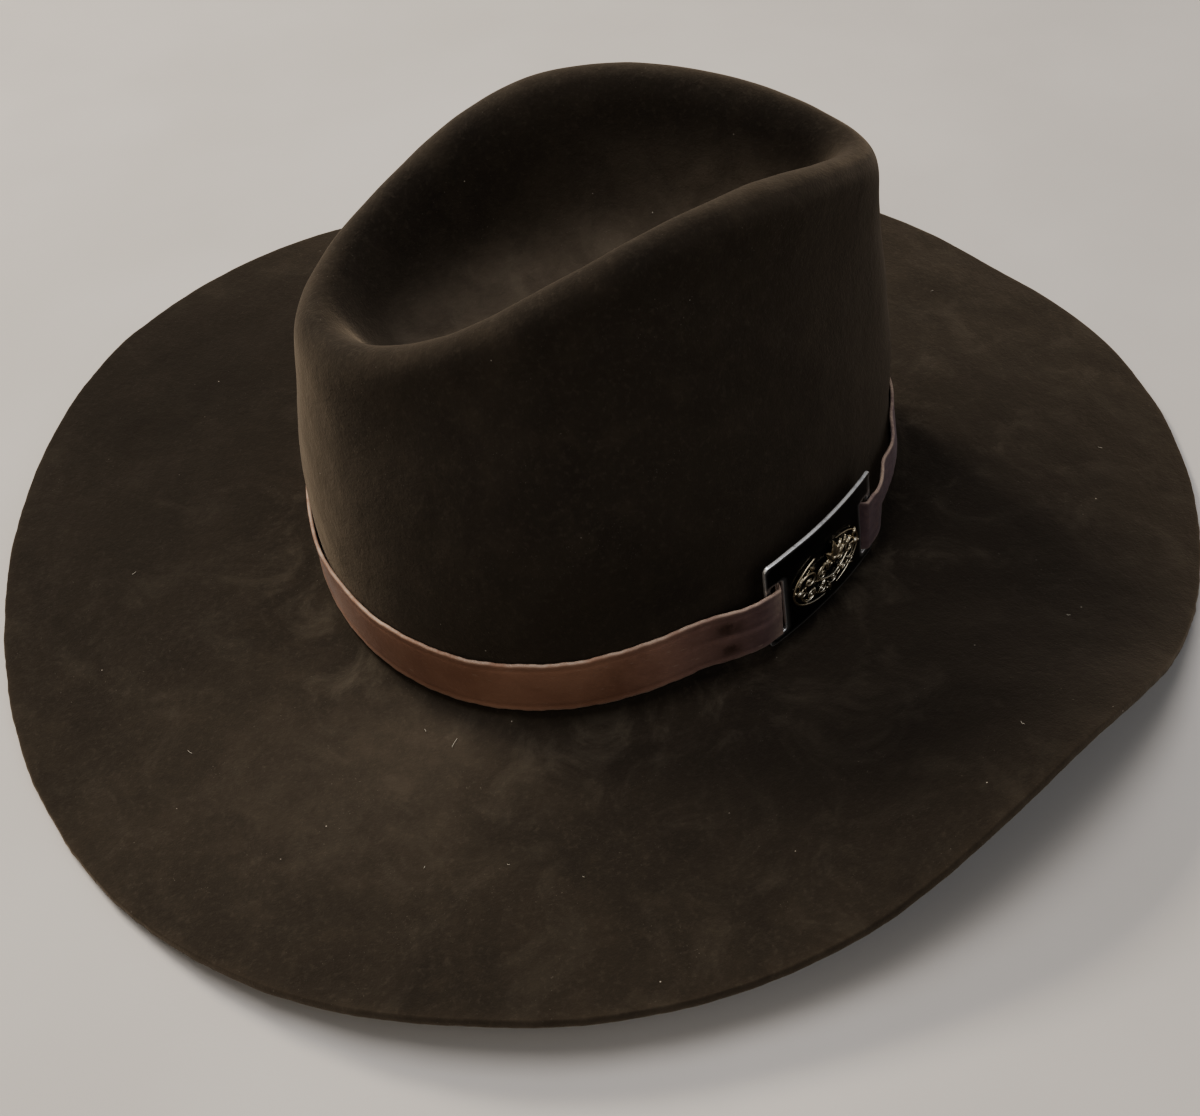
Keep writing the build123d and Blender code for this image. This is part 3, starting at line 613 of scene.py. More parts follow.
# colour patches of painted light (paler felt on the brim and in the dent) and painted shade (darker
# felt on the brim, and less dust at the back left): strength, x, y, spread in x, spread in y
PAINTED_LIGHT_BRIM = [(0.26, -88, 112, 30, 36), (0.24, -84, 84, 16, 16)]
PAINTED_LIGHT_DENT = [(0.30, 14, -10, 20, 24), (0.75, 12, -58, 20, 22)]
PAINTED_SHADE_BRIM = [(0.95, 104, 128, 55, 55), (0.80, -134, -40, 34, 46), (0.50, -108, -90, 34, 34),
             (0.80, -66, -146, 38, 40), (0.45, 0, -150, 34, 34), (0.30, 20, 168, 40, 30)]
PAINTED_SHADE_DUST_GAP = [(0.6, 100, 120, 60, 60)]


def row_stations(edge_end, edge_count, count):
    """Places across the felt, packed closer near the brim edge."""
    return np.concatenate([np.linspace(0, edge_end, edge_count)[:-1],
                           np.linspace(edge_end, 0.9985, count - edge_count + 1)])


def crease(points, start, end, width, depth):
    start, end = np.array(start, float), np.array(end, float)
    line = end - start
    along = np.clip(((points[..., :2] - start) @ line) / (line @ line), 0, 1)
    away = np.linalg.norm(points[..., :2] - (start + along[..., None] * line), axis=-1)
    fade = np.sin(np.pi * np.clip(along, 0.02, 0.98)) ** 0.6
    return -depth * bell(away, 0.0, width) * fade


def patches(points, table):
    return sum(strength * bell(points[..., 0], x, spread_x) * bell(points[..., 1], y, spread_y)
               for strength, x, y, spread_x, spread_y in table)


def surface_normals(points):
    round_step = np.roll(points, -1, 1) - np.roll(points, 1, 1)
    normal = np.cross(round_step, np.gradient(points, axis=0))
    return normal / (np.linalg.norm(normal, axis=-1)[..., None] + 1e-12)


def felt_relief(points, theta, across, in_dent):
    """How far the outer face stands off the smooth surface."""
    height = points[..., 2]
    relief = sum(waves(points, *row) for row in FELT_RELIEF)
    relief += in_dent * sum(crease(points, *row) for row in CREASES)
    on_wall = rise(across, 0.44, 0.08) * (1 - rise(across, 0.66, 0.05))
    relief += on_wall * sum(
        RIPPLE_HEIGHT * np.sin(height / size + phase) * turn_bell(theta, turn, RIPPLE_SPREAD)
        for turn, size, phase in RIPPLES)
    # the felt lies smooth under the strap
    under_strap = rise(across, 0.29, 0.03) * (1 - rise(height, 24.5, 9.0)) * (across < 0.60)
    return relief * (1 - 0.97 * under_strap)


def brim_edge(outer, inner, theta, smooth_edge):
    """Rounded raw edge between the first rows of the two faces."""
    middle, half = (outer + inner) / 2, (outer - inner) / 2
    fuzz = sum(waves(smooth_edge, *row) for row in EDGE_FUZZ)
    away = np.cross(half, np.roll(outer, -1, 0) - np.roll(outer, 1, 0))
    away /= np.linalg.norm(away, axis=1)[:, None]
    away *= np.sign((away[:, :2] * outward(oval, theta)).sum(1))[:, None]
    rows = []
    for angle in np.radians(np.linspace(90, -90, 11)[1:-1]):
        bulge = (EDGE_BULGE + fuzz) * math.cos(angle)
        rows.append(middle + half * math.sin(angle) + away * bulge[:, None])
    return rows


def build_felt():
    """Crown and brim in one piece; returns the grid of its outer face."""
    theta = np.linspace(0, 2 * np.pi, FELT_COLUMNS, endpoint=False)
    outer_at = row_stations(0.02, 6, OUTER_ROWS)
    across = outer_at[:, None]
    in_dent = rise(across, 0.78, 0.06)
    base = surface(theta, outer_at)
    normal = surface_normals(base)
    relief = felt_relief(base, theta, across, in_dent)
    outer = base + normal * relief[..., None]

    inner_at = row_stations(0.03, 5, INNER_ROWS)
    inner_base = surface(theta, inner_at)
    inner_relief = np.array([np.interp(inner_at, outer_at, column) for column in relief.T]).T
    inner = inner_base + surface_normals(inner_base) * (inner_relief - FELT_THICK)[..., None]

    edge = brim_edge(outer[0], inner[0], theta, base[0])
    grid = np.array(list(outer[::-1]) + edge + list(inner))
    middle_normal = normal[-1].mean(0)
    top = np.array([0.0, DENT_Y, DENT_Z]) + middle_normal * relief[-1].mean()
    verts = np.vstack([grid.reshape(-1, 3), top, top - middle_normal * FELT_THICK])
    top_at, under_at = len(verts) - 2, len(verts) - 1
    last = (len(grid) - 1) * FELT_COLUMNS
    faces = grid_faces(len(grid), FELT_COLUMNS, wrap_cols=True)
    columns = [(j, (j + 1) % FELT_COLUMNS) for j in range(FELT_COLUMNS)]
    faces += [(top_at, k, j) for j, k in columns]
    faces += [(under_at, last + j, last + k) for j, k in columns]

    flat = np.clip(normal[..., 2], 0, 1) ** 2
    on_brim = 1 - rise(across, 0.34, 0.03)
    rim_wear = 0.08 + 0.30 * np.clip(waves(base, 40.0, 20, 31, 0.5) + 0.3, 0, 1)
    wear = bell(across, 0.705, 0.020) * rim_wear + np.exp(-across / 0.005) * 0.55
    # dust on upward faces; thinned at the back left of the brim as painted shade and raised in the
    # dent as partly painted light
    dust_and_painted_light = flat * (0.35 + 0.65 * bell(across, 0.30, 0.06)) * (1 - patches(base, PAINTED_SHADE_DUST_GAP))
    dust_and_painted_light = dust_and_painted_light + 0.75 * in_dent * flat
    # painted light: paler felt in two brim patches, and in the dent on its upward faces and in two
    # patches
    painted_light = on_brim * patches(base, PAINTED_LIGHT_BRIM)
    painted_light = painted_light + in_dent * np.clip(0.62 * flat + patches(base, PAINTED_LIGHT_DENT), 0, 1)
    # painted shade: darker felt in patches round the brim
    painted_shade = on_brim * patches(base, PAINTED_SHADE_BRIM)

    def all_points(values, edge_value=0.0, centre=0.0):
        """Outer values, one value for the raw edge, zero inside."""
        return np.concatenate([np.clip(values, 0, 1)[::-1].ravel(),
                               np.full(len(edge) * FELT_COLUMNS, edge_value),
                               np.zeros(len(inner) * FELT_COLUMNS), [centre, 0]])

    add_piece("felt_crown_and_brim", (verts, faces), "felt", "felt", "felt_body",
              outward_faces=True,
              attributes={"wear": all_points(wear, edge_value=0.45),
                          "dust_and_painted_light": all_points(dust_and_painted_light, edge_value=0.3),
                          "painted_light": all_points(painted_light, centre=painted_light[-1].mean()),
                          "painted_shade": all_points(painted_shade)})
    return outer


# ------------------------------------------------------------------ plaque frame
# The plate is bent to a circle fitted to the wall round PLATE_TURN.
PLATE_TURN, PLATE_LENGTH, PLATE_THICK, PLATE_GAP = 296.8, 53.0, 1.2, 3.6
PLATE_BOTTOM, PLATE_HEIGHT = 2.4, 33.0
PLATE_MIDDLE_Z = PLATE_BOTTOM + PLATE_HEIGHT / 2
SLOT_MIDDLE_Z, SLOT_INSET, SLOT_WIDTH, SLOT_HEIGHT = 15.9, 4.5, 5.0, 21.0
SLOT_ALONG = PLATE_LENGTH / 2 - SLOT_INSET
PLATE_LEAN, LEAN_FROM_Z = 0.09, 14.0                  # leans back with the tapering crown
FIT_Z, FIT_SPREAD = 12.0, 12

FIT_TURNS = np.array([PLATE_TURN - FIT_SPREAD, PLATE_TURN, PLATE_TURN + FIT_SPREAD])
fit_points = wall(FIT_TURNS, FIT_Z, 0.0)[:, :2]
fit_squares = (fit_points ** 2).sum(1)
ARC_CENTRE = np.linalg.solve(2 * (fit_points[1:] - fit_points[0]),
                             fit_squares[1:] - fit_squares[0])
to_middle = fit_points[1] - ARC_CENTRE
PLATE_BACK_R = float(np.linalg.norm(to_middle)) + PLATE_GAP
PLATE_FACE_R = PLATE_BACK_R + PLATE_THICK
ARC_MIDDLE = math.atan2(to_middle[1], to_middle[0])


def on_plate(along, z, radius):
    """Point along the plate from its middle (+ towards the front), z up."""
    along, z, radius = np.broadcast_arrays(np.asarray(along, float), z, radius)
    angle = ARC_MIDDLE + along / PLATE_FACE_R
    radius = radius - PLATE_LEAN * (z - LEAN_FROM_Z)
    return np.stack([ARC_CENTRE[0] + radius * np.cos(angle),
                     ARC_CENTRE[1] + radius * np.sin(angle), z], -1)


def along_plate(turn):
    point = wall(turn, FIT_Z, PLATE_GAP)
    angle = np.arctan2(point[..., 1] - ARC_CENTRE[1], point[..., 0] - ARC_CENTRE[0])
    return ((angle - ARC_MIDDLE + np.pi) % (2 * np.pi) - np.pi) * PLATE_FACE_R


# ------------------------------------------------------------------ hatband strap
STRAP_THICK, STRAP_BOTTOM, STRAP_TOP, STRAP_GAP = 1.2, 2.2, 21.2, 0.45
STRAP_WIDTH = STRAP_TOP - STRAP_BOTTOM
STRAP_ROUND = 0.55                                    # rounding of the long edges
STRAP_RISE = 2.1                                      # middle lift, tilted up at the plaque
RISE_X = STRAP_RISE / 90.0 * math.sin(math.radians(PLATE_TURN))
RISE_Y = -STRAP_RISE / 90.0 * math.cos(math.radians(PLATE_TURN))
LAP_TURN, LAP_LENGTH = 111.0, 14.0                    # overlap of the strap ends, degrees
OVER_PLATE = 0.22                                     # strap's stand-off from the plate face
LAP_STITCH_TURNS = (4.5, 11.0)                        # past the start of the lap
# name, first turn, last turn, and the turns where the shared region starts and ends
STRAP_PARTS = [
    ("hatband_strap_back", LAP_TURN, PLATE_TURN, 262.0, 281.0),
    ("hatband_strap_front", PLATE_TURN, LAP_TURN + 360.0 + LAP_LENGTH, 338.0, 318.0)]


def strap_height(turn, z):
    foot = oval(np.radians(turn))
    return z + STRAP_RISE + RISE_X * foot[..., 0] + RISE_Y * foot[..., 1]


def strap_out(full_turn, z, up_share):
    """Inner face of the strap from the wall; up_share is 0 at its lower edge, 1 at its upper."""
    turn = full_turn % 360.0
    beside = np.where((turn > 250) & (turn < 345),
                      np.abs(along_plate(np.clip(turn, 250, 345))), 99.0)
    face = wall(turn, z, 0.0)
    over = (PLATE_FACE_R - PLATE_LEAN * (z - LEAN_FROM_Z) + OVER_PLATE
            - np.hypot(face[..., 0] - ARC_CENTRE[0], face[..., 1] - ARC_CENTRE[1]) - STRAP_GAP)
    # out through each slot, then back to the wall, sooner on the front side
    settle = np.where(turn > PLATE_TURN, 16.0, 24.0)
    out = STRAP_GAP + over * (rise(beside, SLOT_ALONG - 3.6, 4.0)
                              - rise(beside, PLATE_LENGTH / 2 + 1.0, settle))
    # the lapped end lies over the other end
    out = out + (STRAP_THICK + 0.35) * rise(full_turn, LAP_TURN + 360.0 - 12.0, 11.0)
    # on the front side of the plaque the upper edge stands off the crown
    twist = rise(full_turn, 311.0, 9.0) * (1 - rise(full_turn, 325.0, 13.0))
    out = out + 3.2 * up_share * twist
    # a slight buckle by the slot and soft undulation elsewhere
    out = out + 0.35 * bell(turn, 281.0, 3.0) * bell(up_share, 0.45, 0.12)
    out = out + 0.18 * (np.sin(turn * 0.13 + 2.0) + np.sin(turn * 0.31)) * up_share
    return np.maximum(out, 0.3)


def strap_profile():
    """Cross-section outline: share of the width, depth 0 inner to 1 outer."""
    corner = STRAP_ROUND / STRAP_WIDTH
    arc = np.radians(np.linspace(0, 180, 9)[1:-1])
    outline = [(t, 1.0) for t in np.linspace(corner, 1 - corner, 26)]
    outline += [(1 - corner + corner * math.sin(a), 0.5 + 0.5 * math.cos(a)) for a in arc]
    outline += [(t, 0.0) for t in np.linspace(1 - corner, corner, 12)]
    outline += [(corner - corner * math.sin(a), 0.5 - 0.5 * math.cos(a)) for a in arc]
    return np.array(outline)


def strap_turns(first, last):
    """Turns of the strap's rings, closer together near the plaque."""
    turns, turn = [], first
    while turn < last - 1e-6:
        turns.append(turn)
        turn += 0.22 if 276.0 < turn % 360.0 < 322.0 else 0.5
    return np.array(turns + [last])


def strap_solid(turns):
    """Rounded leather strip; returns the solid and its attributes."""
    profile = strap_profile()
    full_turn, share = np.meshgrid(turns, profile[:, 0], indexing="ij")
    depth = np.broadcast_to(profile[:, 1], full_turn.shape)
    turn = full_turn % 360.0
    face = depth > 0.99
    z = strap_height(full_turn, STRAP_BOTTOM + STRAP_WIDTH * share)
    edge_wave = 0.12 * np.sin(full_turn * 0.9) + 0.08 * np.sin(full_turn * 2.3 + 1)
    z = z + edge_wave * np.sign(share - 0.5) * (np.abs(share - 0.5) * 2) ** 4
    points = wall(full_turn, z, strap_out(full_turn, z, share) + depth * STRAP_THICK)
    # faint score lines along both edges, and a lengthwise crease by the slot
    groove = 0.16 * (bell(share, 0.11, 0.018) + bell(share, 0.89, 0.018))
    groove = groove + 0.30 * bell(share, 0.55, 0.03) * bell(turn, 278.0, 6.0)
    normal = outward(oval, np.radians(full_turn))
    points[..., :2] -= normal * (groove * face)[..., None]
    from_edge = np.minimum(share, 1 - share) * STRAP_WIDTH
    wear = np.clip(np.exp(-from_edge / 0.40) * 0.9 + 0.20 * ~face, 0, 1)
    # round turn 142 the strap face is lightened as a painted highlight on that side
    wear = wear + 0.6 * bell(turn, 285.0, 1.5) + 0.30 * bell(turn, 142.0, 16.0) * face
    marks = 0.9 * bell(share, 0.70, 0.09) + 0.8 * bell(share, 0.25, 0.08)
    smudge = bell(turn, 275.0, 1.4) * marks * face
    smudge = smudge + 0.40 * rise(turn, 262.0, 14.0) * (1 - rise(turn, 318.0, 6.0)) * face
    attributes = {"wear": np.clip(wear, 0, 1), "smudge": np.clip(smudge, 0, 1)}
    return (points.reshape(-1, 3), loft_faces(*points.shape[:2])), attributes


def build_strap():
    for name, first, last, blend_start, blend_end in STRAP_PARTS:
        solid, attributes = strap_solid(strap_turns(first, last))
        piece = new_object(name, *solid, "strap", attributes, outward_faces=True)
        start, end = wall(np.array([blend_start, blend_end]), 12.0, 2.0)
        tuple(to_scene(start))
        tuple(to_scene(end))
        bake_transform(piece)
    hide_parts("hatband_strap")


def build_lap_stitches():
    """Upright stitches in two rows across the lapped strap end."""
    stitches = []
    lift = 0.26 * np.sin(np.linspace(0, np.pi, 9)) ** 0.5 - 0.10
    for past in LAP_STITCH_TURNS:
        turn = np.full(9, LAP_TURN + 360.0 + past)
        for middle in np.arange(4.2, 20.0, 2.6):
            level = np.linspace(middle - 0.9, middle + 0.9, 9)
            z = strap_height(turn, level)
            out = strap_out(turn, z, (level - STRAP_BOTTOM) / STRAP_WIDTH)
            stitches.append(tube(wall(turn, z, out + STRAP_THICK + lift), 0.30, sides=8))
    add_piece("strap_lap_stitches", merge(stitches), "thread_dark", "thread_dark",
              "strap_end_stitches", body="hatband")


# ------------------------------------------------------------------ plaque plate
PLATE_BEVEL, PLATE_CORNER, SLOT_CORNER = 0.38, 1.8, 0.9
FILL_SPACING = 1.6                                    # between points inside the flat faces
BEVEL_ANGLES = (90, 70, 50, 30, 12, 0)


def rounded(half_width, half_height, radius, x=0.0, y=0.0, arc_steps=10, side_steps=24):
    """Rounded rectangle outline, with the same point count for every size."""
    radius = min(radius, half_width, half_height)
    wide, high = half_width - radius, half_height - radius
    corners = [(wide, high, 0), (-wide, high, 90), (-wide, -high, 180), (wide, -high, 270)]

    def arc_point(corner, angle):
        angle = math.radians(corner[2] + angle)
        return corner[0] + radius * math.cos(angle), corner[1] + radius * math.sin(angle)

    points = []
    for i, corner in enumerate(corners):
        points += [arc_point(corner, k * 90 / arc_steps) for k in range(arc_steps + 1)]
        end = points[-1]
        start = arc_point(corners[(i + 1) % 4], 0)
        for k in range(1, side_steps):
            share = k / side_steps
            points.append((end[0] * (1 - share) + start[0] * share,
                           end[1] * (1 - share) + start[1] * share))
    return np.array(points) + np.array([x, y])


def inside(point, loop):
    crossed = False
    for i in range(len(loop)):
        here, before = loop[i], loop[i - 1]
        if (here[1] > point[1]) != (before[1] > point[1]) and point[0] < (
                (before[0] - here[0]) * (point[1] - here[1]) / (before[1] - here[1]) + here[0]):
            crossed = not crossed
    return crossed


def gap(point, loop):
    return np.min(np.hypot(loop[:, 0] - point[0], loop[:, 1] - point[1]))


def fill_outline(outer, holes, spacing):
    """Triangles filling an outline with holes, with inner points for bending."""
    points = [Vector((float(p[0]), float(p[1]))) for p in outer]
    loops = [list(range(len(outer)))]
    for hole in holes:
        base = len(points)
        points += [Vector((float(p[0]), float(p[1]))) for p in hole]
        loops.append(list(range(base, base + len(hole)))[::-1])
    low, high = outer.min(0), outer.max(0)
    clear = spacing * 0.45
    for x in np.arange(low[0] + spacing / 2, high[0], spacing):
        for y in np.arange(low[1] + spacing / 2, high[1], spacing):
            spot = (x, y)
            if inside(spot, outer) and gap(spot, outer) > clear and all(
                    not inside(spot, hole) and gap(spot, hole) > clear for hole in holes):
                points.append(Vector(spot))
    found, _, triangles, _, _, _ = geometry.delaunay_2d_cdt(points, [], loops, 1, 1e-7)
    found = np.array([tuple(p) for p in found])
    kept = []
    for triangle in triangles:
        middle = found[list(triangle)].mean(0)
        if inside(middle, outer) and all(not inside(middle, hole) for hole in holes):
            kept.append(tuple(triangle))
    return found, kept


def plate_outline(inset):
    return rounded(PLATE_LENGTH / 2 - inset, PLATE_HEIGHT / 2 - inset,
                   max(PLATE_CORNER - inset, 0.2))


def slot_outline(side):
    def outline(inset):
        return rounded(SLOT_WIDTH / 2 + inset, SLOT_HEIGHT / 2 + inset, SLOT_CORNER + inset,
                       x=side * SLOT_ALONG, y=SLOT_MIDDLE_Z - PLATE_MIDDLE_Z)
    return outline


def plate_relief(plan):
    """The long edges turn out a little and the plate has shallow dents."""
    from_middle = np.abs(plan[:, 1]) / (PLATE_HEIGHT / 2)
    flat = np.concatenate([plan, np.zeros((len(plan), 1))], 1)
    return 0.30 * rise(from_middle, 0.80, 0.20) + waves(flat, 16.0, 14, 51, 0.04)


def build_plate():
    """Bent plate with two slots; each outline is a function of its inset into the metal."""
    outlines = [plate_outline, slot_outline(-1), slot_outline(1)]
    verts, faces, wear = [], [], []

    def add_points(plan, radius, values):
        base = len(verts)
        verts.extend(on_plate(plan[:, 0], plan[:, 1] + PLATE_MIDDLE_Z,
                              radius + plate_relief(plan)))
        wear.extend(values)
        return base

    bevel = [(PLATE_BEVEL * (1 - math.cos(angle)), PLATE_BEVEL * (1 - math.sin(angle)))
             for angle in map(math.radians, BEVEL_ANGLES)]
    profile = [(inset, PLATE_FACE_R - depth) for inset, depth in bevel]
    profile += [(inset, PLATE_BACK_R + depth) for inset, depth in bevel[::-1]]
    for outline in outlines:
        bases = []
        for inset, radius in profile:
            plan = outline(inset)
            value = 0.30 if inset > PLATE_BEVEL * 0.99 else 1.0
            bases.append(add_points(plan, radius, [value] * len(plan)))
        count = len(plan)
        for here, after in zip(bases[:-1], bases[1:]):
            for j in range(count):
                k = (j + 1) % count
                faces.append((here + j, here + k, after + k, after + j))

    border, *holes = [outline(PLATE_BEVEL) for outline in outlines]
    plan, triangles = fill_outline(border, holes, FILL_SPACING)
    edge = np.vstack([border] + holes)
    face_wear = [0.30 if gap(point, edge) < 1e-3 else 0.0 for point in plan]
    for radius, step in ((PLATE_FACE_R, 1), (PLATE_BACK_R, -1)):
        base = add_points(plan, radius, face_wear)
        faces.extend(tuple(base + i for i in triangle[::step]) for triangle in triangles)
    add_piece("plaque_plate_metal", (np.array(verts), faces), "plate", "dark_metal",
              "plaque_plate", body="plaque", attributes={"wear": wear},
              outward_faces=True, weld=True)


# ------------------------------------------------------------------ ornament
# Places are along the plate and up from the ornament's middle.
ORNAMENT_Z = 16.8
ORNAMENT_R = PLATE_FACE_R + 0.70
# open oval: half width, half height, first and last angle, wire radius, lift
OVAL_ARCS = [(16.2, 9.4, 112, 262, 0.46, 0.0), (16.0, 9.2, -78, 74, 0.32, 0.0),
             (14.2, 7.6, 128, 236, 0.26, 0.15), (13.6, 7.4, -60, 40, 0.24, 0.1)]
# scrolls: x, y, first and last radius, first angle, turns, sense, lift, wire radius, squash
SCROLLS = [
    (-9.6, 2.2, 4.6, 0.9, 200, 1.45, -1, 0.30, 0.50, 0.85),
    (-9.2, -3.6, 3.9, 0.8, 150, 1.35, 1, 0.15, 0.44, 0.8),
    (-3.8, 0.8, 3.3, 0.7, 10, 1.3, 1, 0.45, 0.40, 1.0),
    (-4.2, -5.2, 2.6, 0.6, 60, 1.3, -1, 0.25, 0.34, 0.9),
    (1.6, -4.8, 2.8, 0.6, 180, 1.35, 1, 0.30, 0.36, 0.9),
    (6.6, -4.4, 2.7, 0.6, 120, 1.3, -1, 0.2, 0.34, 0.9),
    (10.6, 0.6, 3.6, 0.8, -20, 1.35, 1, 0.25, 0.38, 0.9),
    (5.2, 1.2, 2.8, 0.7, 200, 1.25, -1, 0.4, 0.36, 0.9),
    (11.4, -5.0, 2.0, 0.5, 40, 1.2, 1, 0.15, 0.28, 0.8),
    (-12.8, -0.8, 1.9, 0.5, 90, 1.2, -1, 0.35, 0.32, 1.0)]
# leaves: x, y, angle, length, width, lift
LEAVES = [
    (2.6, 3.0, 92, 6.6, 3.0, 0.75), (2.0, 2.6, 126, 5.8, 2.5, 0.55),
    (3.2, 2.6, 58, 5.8, 2.5, 0.55), (1.4, 2.0, 158, 4.6, 2.0, 0.4),
    (4.0, 2.0, 26, 4.8, 2.1, 0.4), (-1.0, 0.2, 100, 3.6, 1.7, 0.6),
    (7.6, 3.2, 70, 3.8, 1.8, 0.35), (8.6, 2.2, 34, 3.6, 1.6, 0.3),
    (-6.8, 4.8, 130, 3.6, 1.6, 0.25), (-11.8, 5.2, 210, 3.4, 1.5, 0.15),
    (-7.2, -2.2, 250, 3.2, 1.5, 0.3), (0.0, -6.2, 265, 3.0, 1.4, 0.15),
    (4.4, -2.4, 300, 3.4, 1.6, 0.35), (9.2, -3.2, 320, 3.2, 1.5, 0.25),
    (13.2, 2.6, 60, 2.8, 1.3, 0.15), (-2.6, -2.6, 220, 3.0, 1.4, 0.4)]
LEAF_ARCH, LEAF_THICK = 0.4, 0.42
# berries: x, y, radius
BERRIES = [
    (2.6, 2.4, 1.05), (0.9, 1.3, 0.6), (4.3, 1.3, 0.6), (-9.6, 2.2, 0.7), (-9.2, -3.6, 0.6),
    (-3.8, 0.8, 0.55), (10.6, 0.6, 0.6), (1.6, -4.8, 0.5), (6.6, -4.4, 0.5), (-4.2, -5.2, 0.5),
    (-15.8, 1.6, 0.6), (15.6, -1.0, 0.5), (-1.8, -6.9, 0.45), (5.2, 1.2, 0.5)]
BERRY_LIFT, BERRY_FLAT = 0.55, 0.7
RIVET_ALONG, RIVET_LIFT, RIVET_HEIGHT, RIVET_SIDES = 14.0, 0.45, 0.8, 20
# rivet head rings below its tip: radius, share of the height
RIVET_RINGS = np.array([(0.35, 0.97), (0.7, 0.85), (0.98, 0.6), (1.12, 0.25), (1.15, 0.0),
                        (1.15, -0.35)])


def wire(x, y, lift, width):
    """Round wire along a path on the plate, thinner at both ends."""
    taper = 0.45 + 0.55 * np.sin(np.pi * np.linspace(0, 1, len(x))) ** 0.6
    return tube(on_plate(x, y + ORNAMENT_Z, ORNAMENT_R + lift), width * taper, sides=9)


def oval_arc(half_width, half_height, first, last, width, lift):
    angle = np.radians(np.linspace(first, last, 90))
    return wire(half_width * np.cos(angle), half_height * np.sin(angle), lift, width)


def scroll(x, y, first_radius, last_radius, angle, turns, sense, lift, width, squash):
    """Spiral that tightens as it rises from the plate."""
    share = np.linspace(0, 1, 70)
    angle = math.radians(angle) + sense * turns * 2 * np.pi * share
    radius = first_radius * (last_radius / first_radius) ** share
    return wire(x + radius * np.cos(angle), y + squash * radius * np.sin(angle),
                lift + 0.30 * share, width)


def stems():
    """Four wavy wires that tie the scrolls together."""
    share = np.linspace(0, 1, 80)
    half_turn = share * np.pi
    return [
        wire(-15.0 + 30.0 * share, -1.6 + 2.2 * np.sin(half_turn * 2.4 + 0.4),
             0.10 + 0.25 * np.sin(half_turn), width=0.42),
        wire(-6.0 + 14.0 * share, 4.4 * np.sin(half_turn) - 0.5, 0.30, width=0.36),
        wire(-11.0 + 9.0 * share, -6.6 + 1.6 * np.sin(half_turn * 1.5), 0.05, width=0.30),
        wire(3.0 + 9.5 * share, -6.8 + 1.4 * np.sin(half_turn * 1.3), 0.05, width=0.28)]


def leaf(x, y, angle, length, width, lift):
    """Solid leaf with a raised midrib and notched sides."""
    share, side = np.meshgrid(np.linspace(0, 1, 18), np.linspace(-1, 1, 9), indexing="ij")
    outline = np.sin(np.pi * share ** 0.75) ** 0.9 * (1 - 0.25 * share)
    along = share * length
    aside = side * (width / 2 * outline * (1 + 0.14 * np.sin(share * 26)))
    height = (lift + LEAF_ARCH * np.sin(np.pi * share) + 0.28 * (1 - np.abs(side))
              - 0.18 * np.abs(side))
    cosine, sine = math.cos(math.radians(angle)), math.sin(math.radians(angle))
    leaf_x = x + along * cosine - aside * sine
    leaf_z = y + along * sine + aside * cosine + ORNAMENT_Z
    return sheet(on_plate(leaf_x, leaf_z, ORNAMENT_R + height),
                 on_plate(leaf_x, leaf_z, ORNAMENT_R + height - LEAF_THICK))


def berry(x, y, radius, bands=9, sides=12):
    tilt = (np.pi * np.arange(bands + 1) / bands)[:, None]
    angle = 2 * np.pi * np.arange(sides) / sides
    points = on_plate(x + radius * np.sin(tilt) * np.cos(angle),
                      y + ORNAMENT_Z + radius * np.sin(tilt) * np.sin(angle),
                      ORNAMENT_R + BERRY_LIFT + radius * BERRY_FLAT * np.cos(tilt))
    return points.reshape(-1, 3), grid_faces(bands + 1, sides, wrap_cols=True)


def build_ornament():
    parts = [oval_arc(*row) for row in OVAL_ARCS] + [scroll(*row) for row in SCROLLS]
    parts += stems()
    parts += [leaf(*row) for row in LEAVES] + [berry(*row) for row in BERRIES]
    verts, faces = merge(parts)
    proud = np.linalg.norm(verts[:, :2] - ARC_CENTRE, axis=1) - ORNAMENT_R
    add_piece("ornament_filigree", (verts, faces), "gold", "pale_metal", "ornament",
              body="plaque", outward_faces=True,
              attributes={"wear": np.clip((proud - 0.2) / 0.9, 0, 1)})


def rivet(along):
    base = ORNAMENT_R + RIVET_LIFT
    angle = 2 * np.pi * np.arange(RIVET_SIDES) / RIVET_SIDES
    radius, height = RIVET_RINGS[:, :1], RIVET_RINGS[:, 1:]
    rings = on_plate(along + radius * np.cos(angle), ORNAMENT_Z + radius * np.sin(angle),
                     base + RIVET_HEIGHT * height)
    tip = on_plate(along, ORNAMENT_Z, base + RIVET_HEIGHT)
    faces = [(0, 1 + j, 1 + (j + 1) % RIVET_SIDES) for j in range(RIVET_SIDES)]
    faces += grid_faces(len(rings), RIVET_SIDES, wrap_cols=True, base=1)
    last = 1 + (len(rings) - 1) * RIVET_SIDES
    faces.append(tuple(last + j for j in range(RIVET_SIDES))[::-1])
    return np.vstack([tip, rings.reshape(-1, 3)]), faces


def build_rivets():
    verts, faces = merge([rivet(side * RIVET_ALONG) for side in (-1, 1)])
    add_piece("ornament_rivet_heads", (verts, faces), "gold", "pale_metal", "ornament_rivets",
              body="plaque", outward_faces=True, attributes={"wear": np.full(len(verts), 0.4)})


# ------------------------------------------------------------------ bands inside the crown
ROUND_COUNT = 720
ROUND_TURNS = np.linspace(0, 360, ROUND_COUNT, endpoint=False)
SWEAT_INSET, SWEAT_THICK, SWEAT_BOTTOM, SWEAT_TOP = 5.0, 1.2, 3.4, 44.4
SWEAT_FACE = SWEAT_INSET + SWEAT_THICK                # exposed face, in from the wall
LINING_BOTTOM, LINING_TOP = 11.0, 60.0
CORD_RADIUS, CORD_LIFT, CORD_SIDES = 0.75, 0.9, 12
LINING_TOP_THICK = 0.45


def lining_inset(z):
    """The lining leaves the wall slowly above z 44."""
    return 3.8 + np.maximum(0.0, z - 44.0) * 0.08


